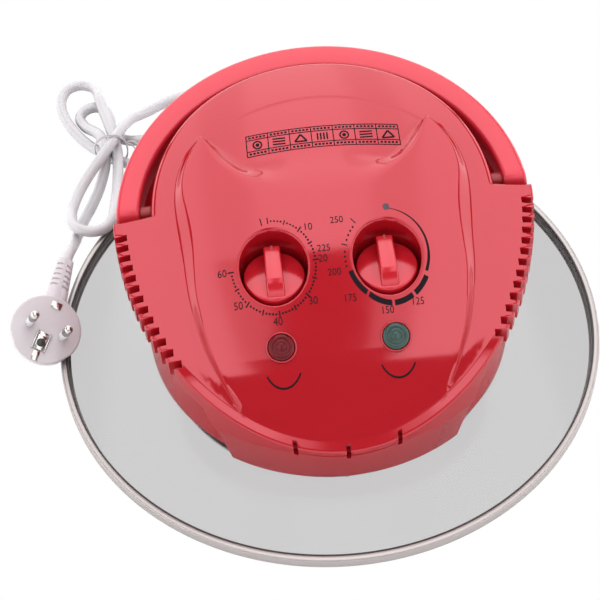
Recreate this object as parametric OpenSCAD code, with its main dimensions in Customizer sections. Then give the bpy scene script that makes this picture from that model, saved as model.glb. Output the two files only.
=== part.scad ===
// Halogen oven lid: a glass lid with a heating head, lying on a table with its lead tied up.
// The origin is the lid's centre on the table. The front with the knobs faces -Y, and +Z is up.

/* [Lid] */
// Diameter over the steel rim
lid_d = 290; // [270:1:350]
// Height of the rim's lower edge above the table
rim_z = 13.4; // [12:0.1:16]
// Height of the rim band
rim_h = 6.6; // [6.2:0.1:9]
// Sheet thickness of the rim, the reflector and the guard
sheet_t = 0.8; // [0.6:0.1:1.2]
// Thickness of the glass
glass_t = 4; // [3:0.5:5]
// Rise of the glass from its edge to its middle
glass_crown = 12.98; // [10:0.01:18]
// Diameter of the hole in the glass
glass_hole_d = 76; // [72:1:90]

/* [Head] */
// Height of the head's top above the table
head_h = 134.2; // [128:0.2:162]
// Radius of the head's front and sides, seen from above
cape_r = 104; // [100:0.5:112]
// Radius of the head's domed top from front to back
dome_r = 236.4; // [225:0.2:250]
// Distance of the dome's highest line behind the middle
dome_y = 75.8; // [70:0.2:82]
// Wall thickness of the housings
wall = 2.5; // [2:0.1:3.2]
// Height of the panel above the cover around it
lift = 3.5; // [3:0.1:4.5]
// Height of the cover's edge band
band_h = 10; // [8:0.5:12]
// Radius of the drum at the glass
drum_r = 96; // [92:0.5:97]
// Height of the line between drum and cover at the back
part_z = 78.3; // [74:0.1:84]
// Air slots on each side of the cover
vents = 13; // [8:1:14]
// Width of one air slot
vent_w = 2.8; // [2:0.1:3.4]

/* [Handle] */
// Outer radius of the handle
handle_r = 102.5; // [101:0.1:103.5]
// Thickness of the handle
handle_t = 14; // [12:0.5:16]
// Slope of the folded handle, rising to the back
handle_tilt = 7.1; // [5:0.1:8]
// Diameter of the pivot pins
pin_d = 7; // [5:0.5:8]

/* [Controls] */
// Diameter of a knob
knob_d = 30; // [25:0.5:31]
// Gap between a knob and its well
knob_gap = 1.6; // [1:0.1:2]
// Height of a knob's grip bar above its disc
grip_h = 8; // [6:0.5:10]
// Diameter of a control shaft
shaft_d = 6; // [5:0.5:7]
// Diameter of a lamp lens
lens_d = 13.2; // [11:0.1:15]

/* [Heater] */
// Diameter of the heater guard
guard_d = 180; // [160:1:190]
// Radius of the lamp ring
lamp_ring_r = 58; // [52:0.5:62]
// Diameter of the lamp's quartz tube
lamp_d = 10; // [8:0.5:11]
// Radius of the hot air fan
fan_r = 37; // [32:0.5:42]
// Diameter of the motor's shaft
axle_d = 6; // [5:0.5:7]

/* [Lead and plug] */
// Diameter of the lead
cord_d = 6.4;
// Diameter of the plug's face
plug_d = 38; // [36:0.5:40]
// Diameter of a plug pin
plug_pin_d = 4.8;
// Length of a plug pin
plug_pin_l = 19;
// Distance between the plug pins
plug_pitch = 19;

/* [Hidden] */
$fn = 96;

// Clearances: between turning parts, between fixed parts, and where curved faces lie together
run = 0.05;
slack = 0.3;
skin = 0.1;
// Overlap that joins pieces of one solid
eps = 0.5;
far = 400;

// Lid
rim_r = lid_d / 2;
glass_r = rim_r - 2;
glass_edge_z = rim_z + rim_h - sheet_t - 0.7;
rim_lip = 3;
glass_ball = (glass_r * glass_r + glass_crown * glass_crown) / (2 * glass_crown);
glass_ball_z = glass_edge_z + glass_crown - glass_ball;
glass_hole_r = glass_hole_d / 2;
glass_top = glass_edge_z + glass_crown;
gasket_w = 3.8;

// Stack at the middle of the lid, from the base plate down
plate_z = glass_top + 1.5;
plate_t = 3;
hub_t = 0.8;
hub_z = glass_top - glass_t - 3.3;
hub_r = glass_hole_r + 14;
hub_screw_r = glass_hole_r - 5;
pan_z = hub_z - sheet_t;
guard_r = guard_d / 2;
flange_w = 6;
pan_flat_r = guard_r - 24;
flange_z = 9.2;
screw_r = 1.8;
screw_head_r = 3.5;
screw_head_h = 2.2;

// Domed top: a surface turned about a line parallel to X, with a slight crown across
dome_z = head_h - dome_r;
dome_k = 5.3e-4;
dome_w = cape_r + 10;
dome_steps = 8;

// Head outlines
seam_y = 1.3;
core_y = -2;
core_r0 = cape_r - 16;
core_r1 = core_r0 - 3.2;
core_top = head_h + 6;
drum_y = -1;
drum_top_r = cape_r - 14.5;
drum_z = glass_z(drum_r - wall + drum_y) + 0.3;
lip_drop = 3.5;
chin_z = glass_z(cape_r - lip_drop) + 0.4;
chin_low_x = 59;
chin_high_x = 68;
chin_high_z = 60;
chin_cyl_z = 52;

// Outline of the raised panel, right half, from the back to the front
shield = [
    [0, 8.6], [30, 14], [48.5, 36], [56.5, 41.5], [62.5, 35.8], [67, 29], [69.6, 22],
    [70.6, 14], [70, 6], [68.8, -2.5], [67.8, -15], [68, -30], [67.6, -44], [65.2, -54],
    [62.6, -64.5], [59.5, -72], [54.8, -83], [49, -91], [41.5, -96], [0, -112]
];

// Knobs, wells and lamps
knob_x = 27.6;
knob_y = -31.8;
well_r = knob_d / 2 + knob_gap;
well_wall = 2.2;
knob_top = dome_top(knob_x, knob_y - well_r, lift) + 1.4;
well_floor = knob_top - 12;
floor_t = 2;
control_z = well_floor - floor_t;
lamp_x = 27.7;
lamp_y = -65.9;
lamp_tilt = asin((dome_y - lamp_y) / (dome_r + lift));
lamp_z = dome_top(lamp_x, lamp_y, lift);
collar_r = lens_d / 2 + 1.9;
collar_h = 1.2;
lens_r = lens_d / 2;
time_x = -knob_x;
temp_x = knob_x;

// Handle and its pivots
handle_in_r = cape_r - 13;
pivot_y = seam_y + handle_t / 2 + 1.7;
pivot_z = dome_top(cape_r - 5, pivot_y, 0) - handle_t / 2 - 1.2;
pin_r = pin_d / 2;
boss_r = pin_r + 3;
core_side_x = sqrt(pow(core_r_at(pivot_z), 2) - pow(pivot_y - core_y, 2));
pin_in_x = core_side_x - 5 - slack;
pin_out_x = handle_r - 4.5;
pin_head_t = 1.5;

// Handle switch
cam_r = 8;
cam_fall = 1.5;
cam_t = 4;
cam_x = -pin_in_x + pin_head_t + slack;
plunger_r = 1.5;
plunger_top = pivot_z - cam_r - slack;
switch_top = plunger_top - 2.6;
switch_h = 16;
switch_w = 7;
switch_l = 20;
shelf_t = 2;

// Motor on the lid's axis
axle_r = axle_d / 2;
axle_low = 2.4;
axle_high = plate_z + 39;
bracket_t = 3;
bracket_low_z = plate_z + 13;
stator_z = bracket_low_z + bracket_t + 1;
stator_h = 14;
bracket_high_z = stator_z + stator_h + 2;
stator_w = 64;
stator_y0 = -20;
stator_l = 60;
rotor_r = 12.5;
rotor_gap = 0.5;
bracket_w = 16;
bracket_l = 90;
post_x = 40;
post_r = 4;
tie_x = 27;
coil_w = 30;
coil_r = 5;
limb = 10;
shield_plate_t = 0.6;
shield_plate_r = 68;
cool_fan_r = 33;

// Screw posts between the housings
posts = [[52, 56], [-52, 56], [45, -62], [-45, -62]];
front_posts = [[45, -62], [-45, -62]];
rear_posts = [[52, 56], [-52, 56]];
housing_post_r = 4.5;

// Lamp and hot side
lamp_r = lamp_d / 2;
lamp_arc = 330;
lamp_mid_z = pan_z - lamp_r - 4;
quartz_t = 1;
fan_z = 6;
fan_h = 8;
bulb_at = [23.7, -27.4];
bulb_r = 2;

// Lead exit at the back of the drum
exit_x = -16;
exit_z = plate_z + 12;
exit_y = drum_y + sqrt(pow(drum_r_at(exit_z), 2) - exit_x * exit_x);
grommet_end = 125;
grommet_in = 7;

// Plug pose: the place of its face and its turn
plug_at = [-150.1, 4, 34];
plug_turn = [27.8, -15.5, 64.1];
plug_edge = 4;
plug_deep = 10;
plug_root_r = 2;
neck_from = [-149.1, 14, 29.7];
neck_to = [-141, 54.5, 27.5];
neck_r0 = 6.8;
neck_r1 = 4.6;

// Route of the lead from the grommet to the hank, then the hank's loops, then the plug's end
cord_r = cord_d / 2;
lead_route = [
    [exit_x, grommet_end, exit_z], [-16, 134, 44.4], [-17, 147, 40.5], [-19, 159, 32.5], [-22, 170, 22], [-27, 181, 11.5],
    [-34, 191, 5], [-44, 199, 3.3], [-57, 203, 3.3], [-71, 202.5, 3.3], [-84, 197, 3.3],
    [-92, 191, 4.5], [-98, 185, 7.5]
];
hank_route = [
    [-98, 185, 7.5], [-102.5, 179, 11], [-106, 171, 15], [-109, 162, 18.6], [-113.5, 152, 20.3],
    [-120.5, 141, 19], [-128, 131, 16], [-134.5, 119.5, 14], [-138.5, 106, 14.5], [-138.5, 96, 18],
    [-137, 88, 21], [-132.5, 81.5, 23.4], [-125.5, 79, 23.8], [-118.5, 81, 23.8], [-114, 88, 23.8],
    [-113, 97, 22], [-112.5, 110, 16.5], [-112, 123, 13], [-111.5, 137, 12], [-111.5, 150, 11.9],
    [-113.5, 163, 11.5], [-116.5, 176, 11.2], [-119.5, 188, 11], [-121.8, 199, 10.9],
    [-123.4, 208, 8], [-127, 216.5, 4.6], [-134.5, 220.8, 3.3], [-142, 218.2, 3.3], [-146, 211, 3.3], [-146.5, 202, 3.3],
    [-144, 192, 3.3], [-138.5, 180, 3.3], [-131, 169, 3.3], [-123.5, 160.5, 4.2], [-117, 154.5, 4.9],
    [-109, 149, 4.9], [-100, 145.5, 3.8], [-90, 145, 3.3], [-82.5, 149.5, 3.3], [-80.5, 157.5, 3.3],
    [-85, 164.5, 3.3], [-94, 167.5, 3.3], [-104, 168, 3.3], [-111.5, 172, 3.3], [-115.5, 181, 3.3], [-116.8, 190.5, 3.3],
    [-119.8, 197, 3.3], [-126, 199.8, 3.3], [-132.3, 197, 3.3], [-135, 190.5, 3.3],
    [-131.5, 182.5, 3.9], [-126.5, 175.5, 7], [-122, 167.5, 10.4], [-119.6, 158, 11.8],
    [-118.8, 149, 11.6], [-120, 139, 9.4], [-123.5, 129, 5.5], [-127, 121, 3.6], [-129.5, 115, 3.3]
];
tail_route = [
    [-129.5, 115, 3.3], [-132, 109, 3.6], [-134.5, 98, 7.5], [-135.8, 87, 12.6], [-137, 76.5, 18.2],
    [-138.8, 65.5, 24], [-141, 54.5, 27.5]
];
tie_at = [-115.2, 153.2, 12.4];
tie_in_r = 9.4;
tie_half = 2;

function dome_top(x, y, out) = dome_z + sqrt(pow(dome_r + out - dome_k * x * x, 2) - pow(y - dome_y, 2));
function core_r_at(z) = core_r0 + (core_r1 - core_r0) * (z - part_z) / (core_top - part_z);
function drum_r_at(z) = drum_r + (drum_top_r - drum_r) * (z - drum_z) / (part_z - drum_z);
function glass_z(r) = glass_ball_z + sqrt(glass_ball * glass_ball - r * r);
function mirrored(half) = concat(half, [for (i = [len(half) - 1 : -1 : 0]) if (half[i].x > 0) [-half[i].x, half[i].y]]);
function inset(points, t) = [for (p = points) [p.x - t * p.x / 70, p.y - t * (p.y + 25) / 75]];
function unit(v) = v / norm(v);

// Smooth curve through the route's points: each stretch is cut into n steps
function curve_point(p, i, t) =
    let (a = p[max(i - 1, 0)], b = p[i], c = p[i + 1], d = p[min(i + 2, len(p) - 1)])
    0.5 * (2 * b + (c - a) * t + (2 * a - 5 * b + 4 * c - d) * t * t + (3 * b - a - 3 * c + d) * t * t * t);
function curve(p, n) = concat(
    [for (i = [0 : len(p) - 2], k = [0 : n - 1]) curve_point(p, i, k / n)], [p[len(p) - 1]]);
function heading(p, i) = unit(p[min(i + 1, len(p) - 1)] - p[max(i - 1, 0)]);
function turned(v, d) = unit(v - (v * d) * d);
function along(p, i, d0, d1) = i == 0 ? d0 : i == len(p) - 1 ? d1 : heading(p, i);
function sides(p, i, v, d0, d1) = i == len(p) ? [] :
    let (w = turned(v, along(p, i, d0, d1))) concat([w], sides(p, i + 1, w, d0, d1));

// Closed tube along a list of points, its ends square to the directions d0 and d1
module tube(p, r, n, d0, d1) {
    across = sides(p, 0, [0, 0, 1], d0, d1);
    rings = [for (i = [0 : len(p) - 1], k = [0 : n - 1])
        let (d = along(p, i, d0, d1), u = across[i], v = cross(d, u), a = 360 * k / n)
        p[i] + r * (cos(a) * u + sin(a) * v)];
    skins = [for (i = [0 : len(p) - 2], k = [0 : n - 1])
        let (a = i * n + k, b = i * n + (k + 1) % n) each [[a, b, b + n], [a, b + n, a + n]]];
    ends = [for (k = [1 : n - 2]) each
        [[0, k + 1, k], [(len(p) - 1) * n, (len(p) - 1) * n + k, (len(p) - 1) * n + k + 1]]];
    polyhedron(rings, concat([for (f = skins) [f[0], f[2], f[1]]], [for (f = ends) [f[0], f[2], f[1]]]));
}

// Least distance between stretches of a tube that are further apart along it than it takes to bend back
function least_gap(p, r, far_apart) = min([for (i = [0 : len(p) - 1], j = [0 : len(p) - 1])
    if (j > i + far_apart) norm(p[i] - p[j]) - 2 * r]);

// Everything under the domed top moved out by a distance
module dome(out) {
    translate([0, dome_y, dome_z])
        rotate([0, 90, 0])
            rotate_extrude()
                polygon(concat(
                    [[0, -dome_w]],
                    [for (i = [0 : dome_steps])
                        let (x = dome_w * (2 * i / dome_steps - 1)) [dome_r + out - dome_k * x * x, x]],
                    [[0, dome_w]]));
}

module disc(r, z0, z1) {
    translate([0, 0, z0])
        cylinder(r = r, h = z1 - z0);
}

module ring(r0, r1, z0, z1) {
    difference() {
        disc(r1, z0, z1);
        disc(r0, z0 - eps, z1 + eps);
    }
}

// Box from two corners
module block(a, b) {
    translate(a)
        cube(b - a);
}

module in_front_of(y) {
    intersection() {
        children();
        block([-far, -far, -far], [far, y, far]);
    }
}

module at_each(places) {
    for (p = places)
        translate([p.x, p.y, 0])
            children();
}

module ball(out) {
    translate([0, 0, glass_ball_z])
        sphere(r = glass_ball + out, $fn = 180);
}

// Lid

module glass_lid() {
    color([0.86, 0.91, 0.88])
        difference() {
            intersection() {
                disc(glass_r, rim_z, plate_z);
                ball(0);
            }
            ball(-glass_t);
            disc(glass_hole_r, rim_z, plate_z + eps);
        }
}

module lid_rim() {
    t = sheet_t;
    top = rim_z + rim_h;
    color([0.78, 0.76, 0.75])
        rotate_extrude($fn = 180)
            polygon([
                [rim_r - 5, rim_z], [rim_r, rim_z], [rim_r, top], [rim_r - rim_lip, top],
                [rim_r - rim_lip, top - t], [rim_r - t, top - t], [rim_r - t, rim_z + t], [rim_r - 5, rim_z + t]
            ]);
}

module rim_gasket() {
    t = sheet_t;
    top = rim_z + rim_h - t;
    low = rim_z + t;
    in_r = rim_r - gasket_w;
    lip_r = rim_r - rim_lip - skin;
    color([0.07, 0.07, 0.07])
        rotate_extrude($fn = 180)
            polygon([
                [in_r, low], [rim_r - t, low], [rim_r - t, top], [lip_r, top], [lip_r, top + t], [in_r, top + t],
                [in_r, glass_z(in_r) + 2 * skin], [glass_r + skin, glass_z(glass_r) + skin],
                [glass_r + skin, glass_z(glass_r) - glass_t - skin], [in_r, glass_z(in_r) - glass_t - skin]
            ]);
}

module hub_gaskets() {
    color([0.55, 0.2, 0.16]) {
        difference() {
            ring(glass_hole_r + 2, glass_hole_r + 18, glass_top - 3, plate_z);
            ball(2.5 * skin);
        }
        intersection() {
            ring(glass_hole_r + 2, glass_hole_r + 13, hub_z + hub_t, glass_top);
            ball(-glass_t - 2.5 * skin);
        }
    }
}

module hub_screw_places() {
    for (a = [0 : 90 : 270])
        rotate(a)
            translate([hub_screw_r, 0, 0])
                children();
}

module hub_plate() {
    color([0.7, 0.7, 0.72])
        difference() {
            ring(hub_screw_r - 6, hub_r, hub_z, hub_z + hub_t);
            hub_screw_places()
                disc(screw_r + 0.2, hub_z - eps, hub_z + hub_t + eps);
            at_each([bulb_at])
                disc(1.4, hub_z - eps, hub_z + hub_t + eps);
        }
}

module screw(z_head, z_end, r, head_r, head_h) {
    step = z_end > z_head ? 1 : -1;
    translate([0, 0, min(z_head, z_end)])
        cylinder(r = r, h = abs(z_end - z_head));
    translate([0, 0, step > 0 ? z_head - head_h : z_head])
        cylinder(r = head_r, h = head_h);
}

module hub_screws() {
    color([0.75, 0.75, 0.77])
        hub_screw_places()
            difference() {
                screw(pan_z, plate_z + 2, screw_r, screw_head_r, screw_head_h);
                block([-2.5, -0.4, pan_z - screw_head_h - eps], [2.5, 0.4, pan_z - screw_head_h + 0.9]);
                block([-0.4, -2.5, pan_z - screw_head_h - eps], [0.4, 2.5, pan_z - screw_head_h + 0.9]);
            }
}

// Hot side

module reflector_pan() {
    t = sheet_t;
    color([0.86, 0.86, 0.88])
        difference() {
            rotate_extrude()
                polygon([
                    [axle_r + 5, pan_z], [pan_flat_r, pan_z], [guard_r - flange_w, flange_z],
                    [guard_r, flange_z], [guard_r, flange_z + t], [guard_r - flange_w + 0.4, flange_z + t],
                    [pan_flat_r + 0.4, pan_z + t], [axle_r + 5, pan_z + t]
                ]);
            hub_screw_places()
                disc(screw_r + 0.2, pan_z - eps, pan_z + t + eps);
            at_each([bulb_at])
                disc(1.4, pan_z - eps, pan_z + t + eps);
            guard_screw_places()
                disc(1.6, flange_z - eps, flange_z + t + eps);
        }
}

module guard_screw_places() {
    for (a = [30 : 60 : 330])
        rotate(a)
            translate([guard_r - flange_w / 2, 0, 0])
                children();
}

module heater_guard() {
    t = sheet_t;
    in_r = guard_r - flange_w;
    color([0.8, 0.8, 0.82])
        difference() {
            union() {
                disc(in_r, 0, t + 0.2);
                ring(in_r - t, in_r, 0, flange_z);
                ring(in_r - t, guard_r, flange_z - t, flange_z);
            }
            for (a = [0 : 15 : 345])
                rotate(a)
                    block([in_r * 0.5, -1.8, -eps], [in_r - 6, 1.8, 2]);
            for (a = [0 : 30 : 330])
                rotate(a)
                    block([in_r * 0.16, -1.5, -eps], [in_r * 0.42, 1.5, 2]);
            guard_screw_places()
                disc(1.6, flange_z - t - eps, flange_z + eps);
        }
}

module guard_screws() {
    color([0.75, 0.75, 0.77])
        guard_screw_places()
            screw(flange_z - sheet_t, flange_z + sheet_t + 2, 1.4, 2.4, 1.6);
}

module lamp_sweep(r0, r1) {
    rotate([0, 0, -90 + (360 - lamp_arc) / 2 + 180])
        translate([0, 0, lamp_mid_z])
            rotate_extrude(angle = lamp_arc)
                translate([lamp_ring_r, 0])
                    difference() {
                        circle(r = r1, $fn = 32);
                        if (r0 > 0)
                            circle(r = r0, $fn = 32);
                    }
}

module halogen_lamp() {
    color([0.9, 0.9, 0.92, 0.5])
        lamp_sweep(lamp_r - quartz_t, lamp_r);
}

module lamp_filament() {
    color([0.95, 0.6, 0.2])
        lamp_sweep(0, 0.8);
}

module lamp_holders() {
    half = (360 - lamp_arc) / 2;
    color([0.93, 0.92, 0.88])
        for (s = [-1, 1])
            rotate([0, 0, 90 + s * half])
                mirror([0, s > 0 ? 1 : 0, 0])
                    block([lamp_ring_r - lamp_r - 1, 0, lamp_mid_z - lamp_r - 1], [lamp_ring_r + lamp_r, 9, pan_z]);
}

module blades(n, r0, r1, z0, z1, lean) {
    for (a = [0 : 360 / n : 359])
        rotate(a)
            translate([r0, 0, 0])
                rotate(lean)
                    block([0, -0.5, z0], [r1 - r0, 0.5, z1]);
}

module convection_fan() {
    color([0.72, 0.72, 0.74])
        difference() {
            union() {
                disc(fan_r, fan_z + fan_h - 1, fan_z + fan_h);
                disc(axle_r + 4, fan_z, fan_z + fan_h);
                blades(11, axle_r + 2, fan_r - 3.3, fan_z + 0.6, fan_z + fan_h - 0.4, 15);
            }
            disc(axle_r + run, fan_z - eps, fan_z + fan_h + eps);
        }
}

module fan_nut() {
    color([0.8, 0.7, 0.4])
        difference() {
            translate([0, 0, fan_z - 3.2])
                cylinder(r = axle_r + 2.8, h = 3.2, $fn = 6);
            disc(axle_r + run, fan_z - 4, fan_z + eps);
        }
}

module thermostat_bulb() {
    z = pan_z - bulb_r - 1.2;
    color([0.78, 0.55, 0.35]) {
        at_each([bulb_at])
            disc(0.9, z, control_z - 14 - skin);
        translate([bulb_at.x, bulb_at.y, z])
            rotate([0, 90, -130])
                cylinder(r = bulb_r, h = 34);
        rotate(-130)
            translate([bulb_at.x * cos(130) - bulb_at.y * sin(130), 0, 0])
                translate([20, bulb_at.x * sin(130) + bulb_at.y * cos(130), 0])
                    block([-1.5, -1.5, z], [1.5, 1.5, pan_z]);
    }
}

// Housings

module outline_prism(points) {
    linear_extrude(height = far)
        polygon(mirrored(points));
}

module core_cone(in_by) {
    translate([0, core_y, part_z])
        cylinder(r1 = core_r0 - in_by, r2 = core_r1 - in_by, h = core_top - part_z);
}

module cover_plan(in_by) {
    in_front_of(seam_y - in_by)
        disc(cape_r - in_by, drum_z - 20, core_top);
    translate([0, 0, in_by > 0 ? -eps : 0])
        core_cone(in_by);
}

module chin() {
    w = wall;
    intersection() {
        dome(0);
        rotate_extrude()
            polygon([
                [cape_r - lip_drop - w, chin_z], [cape_r - lip_drop, chin_z], [cape_r, chin_cyl_z],
                [cape_r, core_top], [cape_r - w, core_top], [cape_r - w, chin_cyl_z]
            ]);
        rotate([90, 0, 0])
            linear_extrude(height = far)
                polygon([
                    [-chin_low_x, 0], [chin_low_x, 0], [chin_low_x, chin_z], [chin_high_x, chin_high_z],
                    [chin_high_x + 2, core_top], [-chin_high_x - 2, core_top], [-chin_high_x, chin_high_z],
                    [-chin_low_x, chin_z]
                ]);
    }
}

module vent_cuts() {
    pitch = 4.8;
    first = seam_y - 8.3;
    for (i = [0 : vents - 1], s = [-1, 1]) {
        y = first - pitch * i;
        x = sqrt(cape_r * cape_r - y * y);
        block(
            [s > 0 ? x - 6.5 : -x - 4, y - vent_w / 2, dome_top(x, y, 0) - band_h + 2],
            [s > 0 ? x + 4 : -x + 6.5, y + vent_w / 2, dome_top(x, y, 0) + 12]);
    }
}

module lip_notches() {
    for (x = [-25.5, 0, 25.5])
        block([x - 1, -cape_r - 4, dome_top(0, -cape_r + 6, 0) - 12], [x + 1, -cape_r + 3.2, head_h]);
}

module wells(r, z0) {
    for (s = [-1, 1])
        translate([s * knob_x, knob_y, 0])
            disc(r, z0, head_h);
}

module lamp_axis(s) {
    translate([s * lamp_x, lamp_y, lamp_z])
        rotate([lamp_tilt, 0, 0])
            children();
}

module control_screw_places() {
    for (s = [-1, 1], t = [-1, 1])
        translate([s * knob_x + t * 10, knob_y, 0])
            children();
}

module cover_shell() {
    difference() {
        union() {
            difference() {
                intersection() {
                    dome(0);
                    cover_plan(0);
                }
                intersection() {
                    dome(-wall);
                    cover_plan(wall);
                }
            }
            difference() {
                intersection() {
                    dome(lift);
                    outline_prism(shield);
                    disc(cape_r - 4, 0, head_h + 20);
                }
                dome(-wall);
            }
        }
        intersection() {
            dome(lift - wall);
            outline_prism(inset(shield, wall));
            disc(cape_r - 4 - wall, 0, head_h + 20);
        }
        in_front_of(seam_y)
            intersection() {
                dome(-band_h);
                disc(cape_r + 5, 0, head_h);
            }
    }
}

module upper_housing() {
    color([0.85, 0.16, 0.2])
        difference() {
            union() {
                cover_shell();
                chin();
                handle_ledge();
                intersection() {
                    dome(lift - wall / 2);
                    union() {
                        wells(well_r + well_wall, control_z);
                        at_each(front_posts)
                            disc(housing_post_r, plate_z + plate_t, head_h);
                    }
                }
                intersection() {
                    dome(-wall / 2);
                    at_each(rear_posts)
                        disc(housing_post_r, plate_z + plate_t, head_h);
                }
                for (s = [-1, 1]) {
                    lamp_axis(s)
                        difference() {
                            translate([0, 0, -wall])
                                cylinder(r = collar_r, h = wall + collar_h);
                            translate([0, 0, -far / 2])
                                cylinder(r = lens_r, h = far);
                        }
                    translate([s * (core_side_x - 5), pivot_y, pivot_z])
                        rotate([0, 90, 0])
                            translate([0, 0, s > 0 ? 0 : -3.6])
                                cylinder(r = boss_r, h = 3.6);
                }
                switch_shelf();
            }
            wells(well_r, well_floor);
            for (s = [-1, 1]) {
                translate([s * knob_x, knob_y, 0])
                    disc(shaft_d / 2 + run, control_z - eps, well_floor + eps);
                lamp_axis(s)
                    translate([0, 0, -12])
                        cylinder(r = lens_r + skin, h = 24);
            }
            control_screw_places()
                disc(1.7, control_z - eps, well_floor + eps);
            translate([0, pivot_y, pivot_z])
                rotate([0, 90, 0])
                    cylinder(r = pin_r + run, h = far, center = true);
            vent_cuts();
            lip_notches();
            at_each(posts)
                disc(screw_r + run, plate_z, plate_z + plate_t + 14);
        }
}

// Ledge round the back of the cover, just below the folded handle
module handle_ledge() {
    top = pivot_z - handle_t / 2 - 2.2;
    difference() {
        disc(handle_r - 3.5, top - 2, top);
        translate([0, core_y, 0])
            disc(core_r_at(top) - wall / 2, top - 2 - eps, top + eps);
        block([-far, -far, 0], [far, seam_y, head_h]);
    }
}

module switch_shelf() {
    top = switch_top - switch_h;
    intersection() {
        core_cone(wall / 2);
        block([-far, pivot_y - 12, top - shelf_t], [cam_x + cam_t / 2 + 6, pivot_y + 12, top]);
    }
}

module drum_wall(in_by, z0) {
    translate([0, drum_y, z0])
        cylinder(r1 = drum_r_at(z0) - in_by, r2 = drum_top_r - in_by, h = part_z - z0);
}

module lower_housing() {
    under = 8;
    color([0.83, 0.18, 0.22])
        difference() {
            union() {
                intersection() {
                    dome(-under);
                    difference() {
                        drum_wall(0, drum_z);
                        difference() {
                            drum_wall(wall, drum_z - eps);
                            disc(far, plate_z, plate_z + plate_t);
                        }
                        translate([0, drum_y, part_z - eps])
                            cylinder(r = drum_top_r - wall, h = 2 * eps);
                    }
                }
                intersection() {
                    dome(-under);
                    in_front_of(seam_y - wall - slack)
                        translate([0, drum_y, 0])
                            ring(drum_top_r - wall, drum_top_r, part_z - eps, core_top);
                }
                difference() {
                    translate([0, drum_y, 0])
                        disc(drum_top_r - eps, part_z - 3, part_z);
                    translate([0, core_y, 0])
                        disc(core_r0 - 4, part_z - 4, part_z + eps);
                    block([-far, -far, 0], [far, seam_y, head_h]);
                }
                hub_screw_places()
                    disc(screw_r + 1.6, hub_z + hub_t + 3, plate_z + eps);
            }
            disc(axle_r + 4, 0, head_h);
            hub_screw_places()
                disc(screw_r + run, 0, plate_z + plate_t - eps);
            at_each([bulb_at])
                disc(1.4, 0, plate_z + plate_t + eps);
            at_each(posts)
                disc(screw_r + 0.2, 0, plate_z + plate_t + eps);
            translate([exit_x, exit_y, exit_z])
                rotate([90, 0, 0])
                    cylinder(r = cord_r + 1.6, h = 30, center = true);
            motor_post_places()
                disc(screw_r + run, plate_z + 0.8, plate_z + plate_t + eps);
        }
}

module housing_screws() {
    color([0.75, 0.75, 0.77])
        at_each(posts)
            screw(plate_z, plate_z + plate_t + 12, screw_r, screw_head_r, screw_head_h);
}

// Handle, its pins and its switch

module handle() {
    color([0.88, 0.2, 0.24])
        difference() {
            intersection() {
                difference() {
                    disc(handle_r, 0, far);
                    translate([0, core_y, 0])
                        disc(handle_in_r, -eps, far + eps);
                }
                translate([0, pivot_y, pivot_z])
                    rotate([handle_tilt, 0, 0])
                        union() {
                            rotate([0, 90, 0])
                                cylinder(r = handle_t / 2, h = far, center = true);
                            block([-far, 0, -handle_t / 2], [far, far, handle_t / 2]);
                        }
            }
            translate([0, pivot_y, pivot_z])
                rotate([0, 90, 0])
                    cylinder(r = pin_r + run, h = 2 * pin_out_x + 2 * slack, center = true);
        }
}

module handle_pins() {
    color([0.75, 0.75, 0.77])
        for (s = [-1, 1])
            translate([s * pin_in_x, pivot_y, pivot_z])
                rotate([0, s * 90, 0])
                    union() {
                        cylinder(r = pin_r, h = pin_out_x - pin_in_x);
                        translate([0, 0, -pin_head_t])
                            cylinder(r = pin_r + 1.2, h = pin_head_t);
                        if (s < 0)
                            translate([0, 0, -pin_head_t - cam_t - slack])
                                cylinder(r = 2, h = cam_t + slack + eps);
                    }
}

// Disc whose radius falls as the handle rises, so that the plunger follows it
module switch_cam() {
    steps = 16;
    color([0.93, 0.93, 0.9])
        translate([cam_x, pivot_y, pivot_z])
            rotate([90, 0, 90])
                difference() {
                    linear_extrude(height = cam_t)
                        polygon(concat(
                            [for (i = [0 : steps])
                                let (a = 90 * i / steps, r = cam_r - cam_fall * i / steps) [-r * sin(a), -r * cos(a)]],
                            [for (i = [1 : steps])
                                let (a = 90 + 90 * i / steps, r = cam_r - cam_fall) [-r * sin(a), -r * cos(a)]],
                            [for (i = [1 : steps - 1])
                                let (a = 180 + 180 * i / steps, r = cam_r - cam_fall * (1 - i / steps))
                                    [-r * sin(a), -r * cos(a)]]));
                    translate([0, 0, -eps])
                        cylinder(r = 2 + run, h = cam_t + 2 * eps);
                }
}

module micro_switch() {
    x = cam_x + cam_t / 2;
    color([0.12, 0.12, 0.13])
        difference() {
            block(
                [x - switch_w / 2, pivot_y - switch_l / 2, switch_top - switch_h],
                [x + switch_w / 2, pivot_y + switch_l / 2, switch_top]);
            translate([x, pivot_y, 0])
                disc(plunger_r + run, switch_top - 4, switch_top + eps);
        }
}

module switch_plunger() {
    color([0.8, 0.1, 0.1])
        translate([cam_x + cam_t / 2, pivot_y, 0])
            disc(plunger_r, switch_top - 3.5, plunger_top);
}

// Motor

module motor_post_places() {
    for (s = [-1, 1])
        translate([s * post_x, 0, 0])
            children();
}

module stator_tie_places() {
    for (s = [-1, 1])
        translate([s * tie_x, 0, 0])
            children();
}

module motor_posts() {
    color([0.7, 0.7, 0.6])
        motor_post_places()
            ring(screw_r + run, post_r, plate_z + plate_t, bracket_low_z);
}

module bracket(z) {
    difference() {
        union() {
            block([-bracket_l / 2, -bracket_w / 2, z], [bracket_l / 2, bracket_w / 2, z + bracket_t]);
            disc(bracket_w / 2 + 1, z, z + bracket_t);
        }
        disc(axle_r + run, z - eps, z + bracket_t + eps);
        stator_tie_places()
            disc(screw_r + run, z - eps, z + bracket_t + eps);
        motor_post_places()
            disc(screw_r + run, z - eps, z + bracket_t + eps);
    }
}

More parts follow.
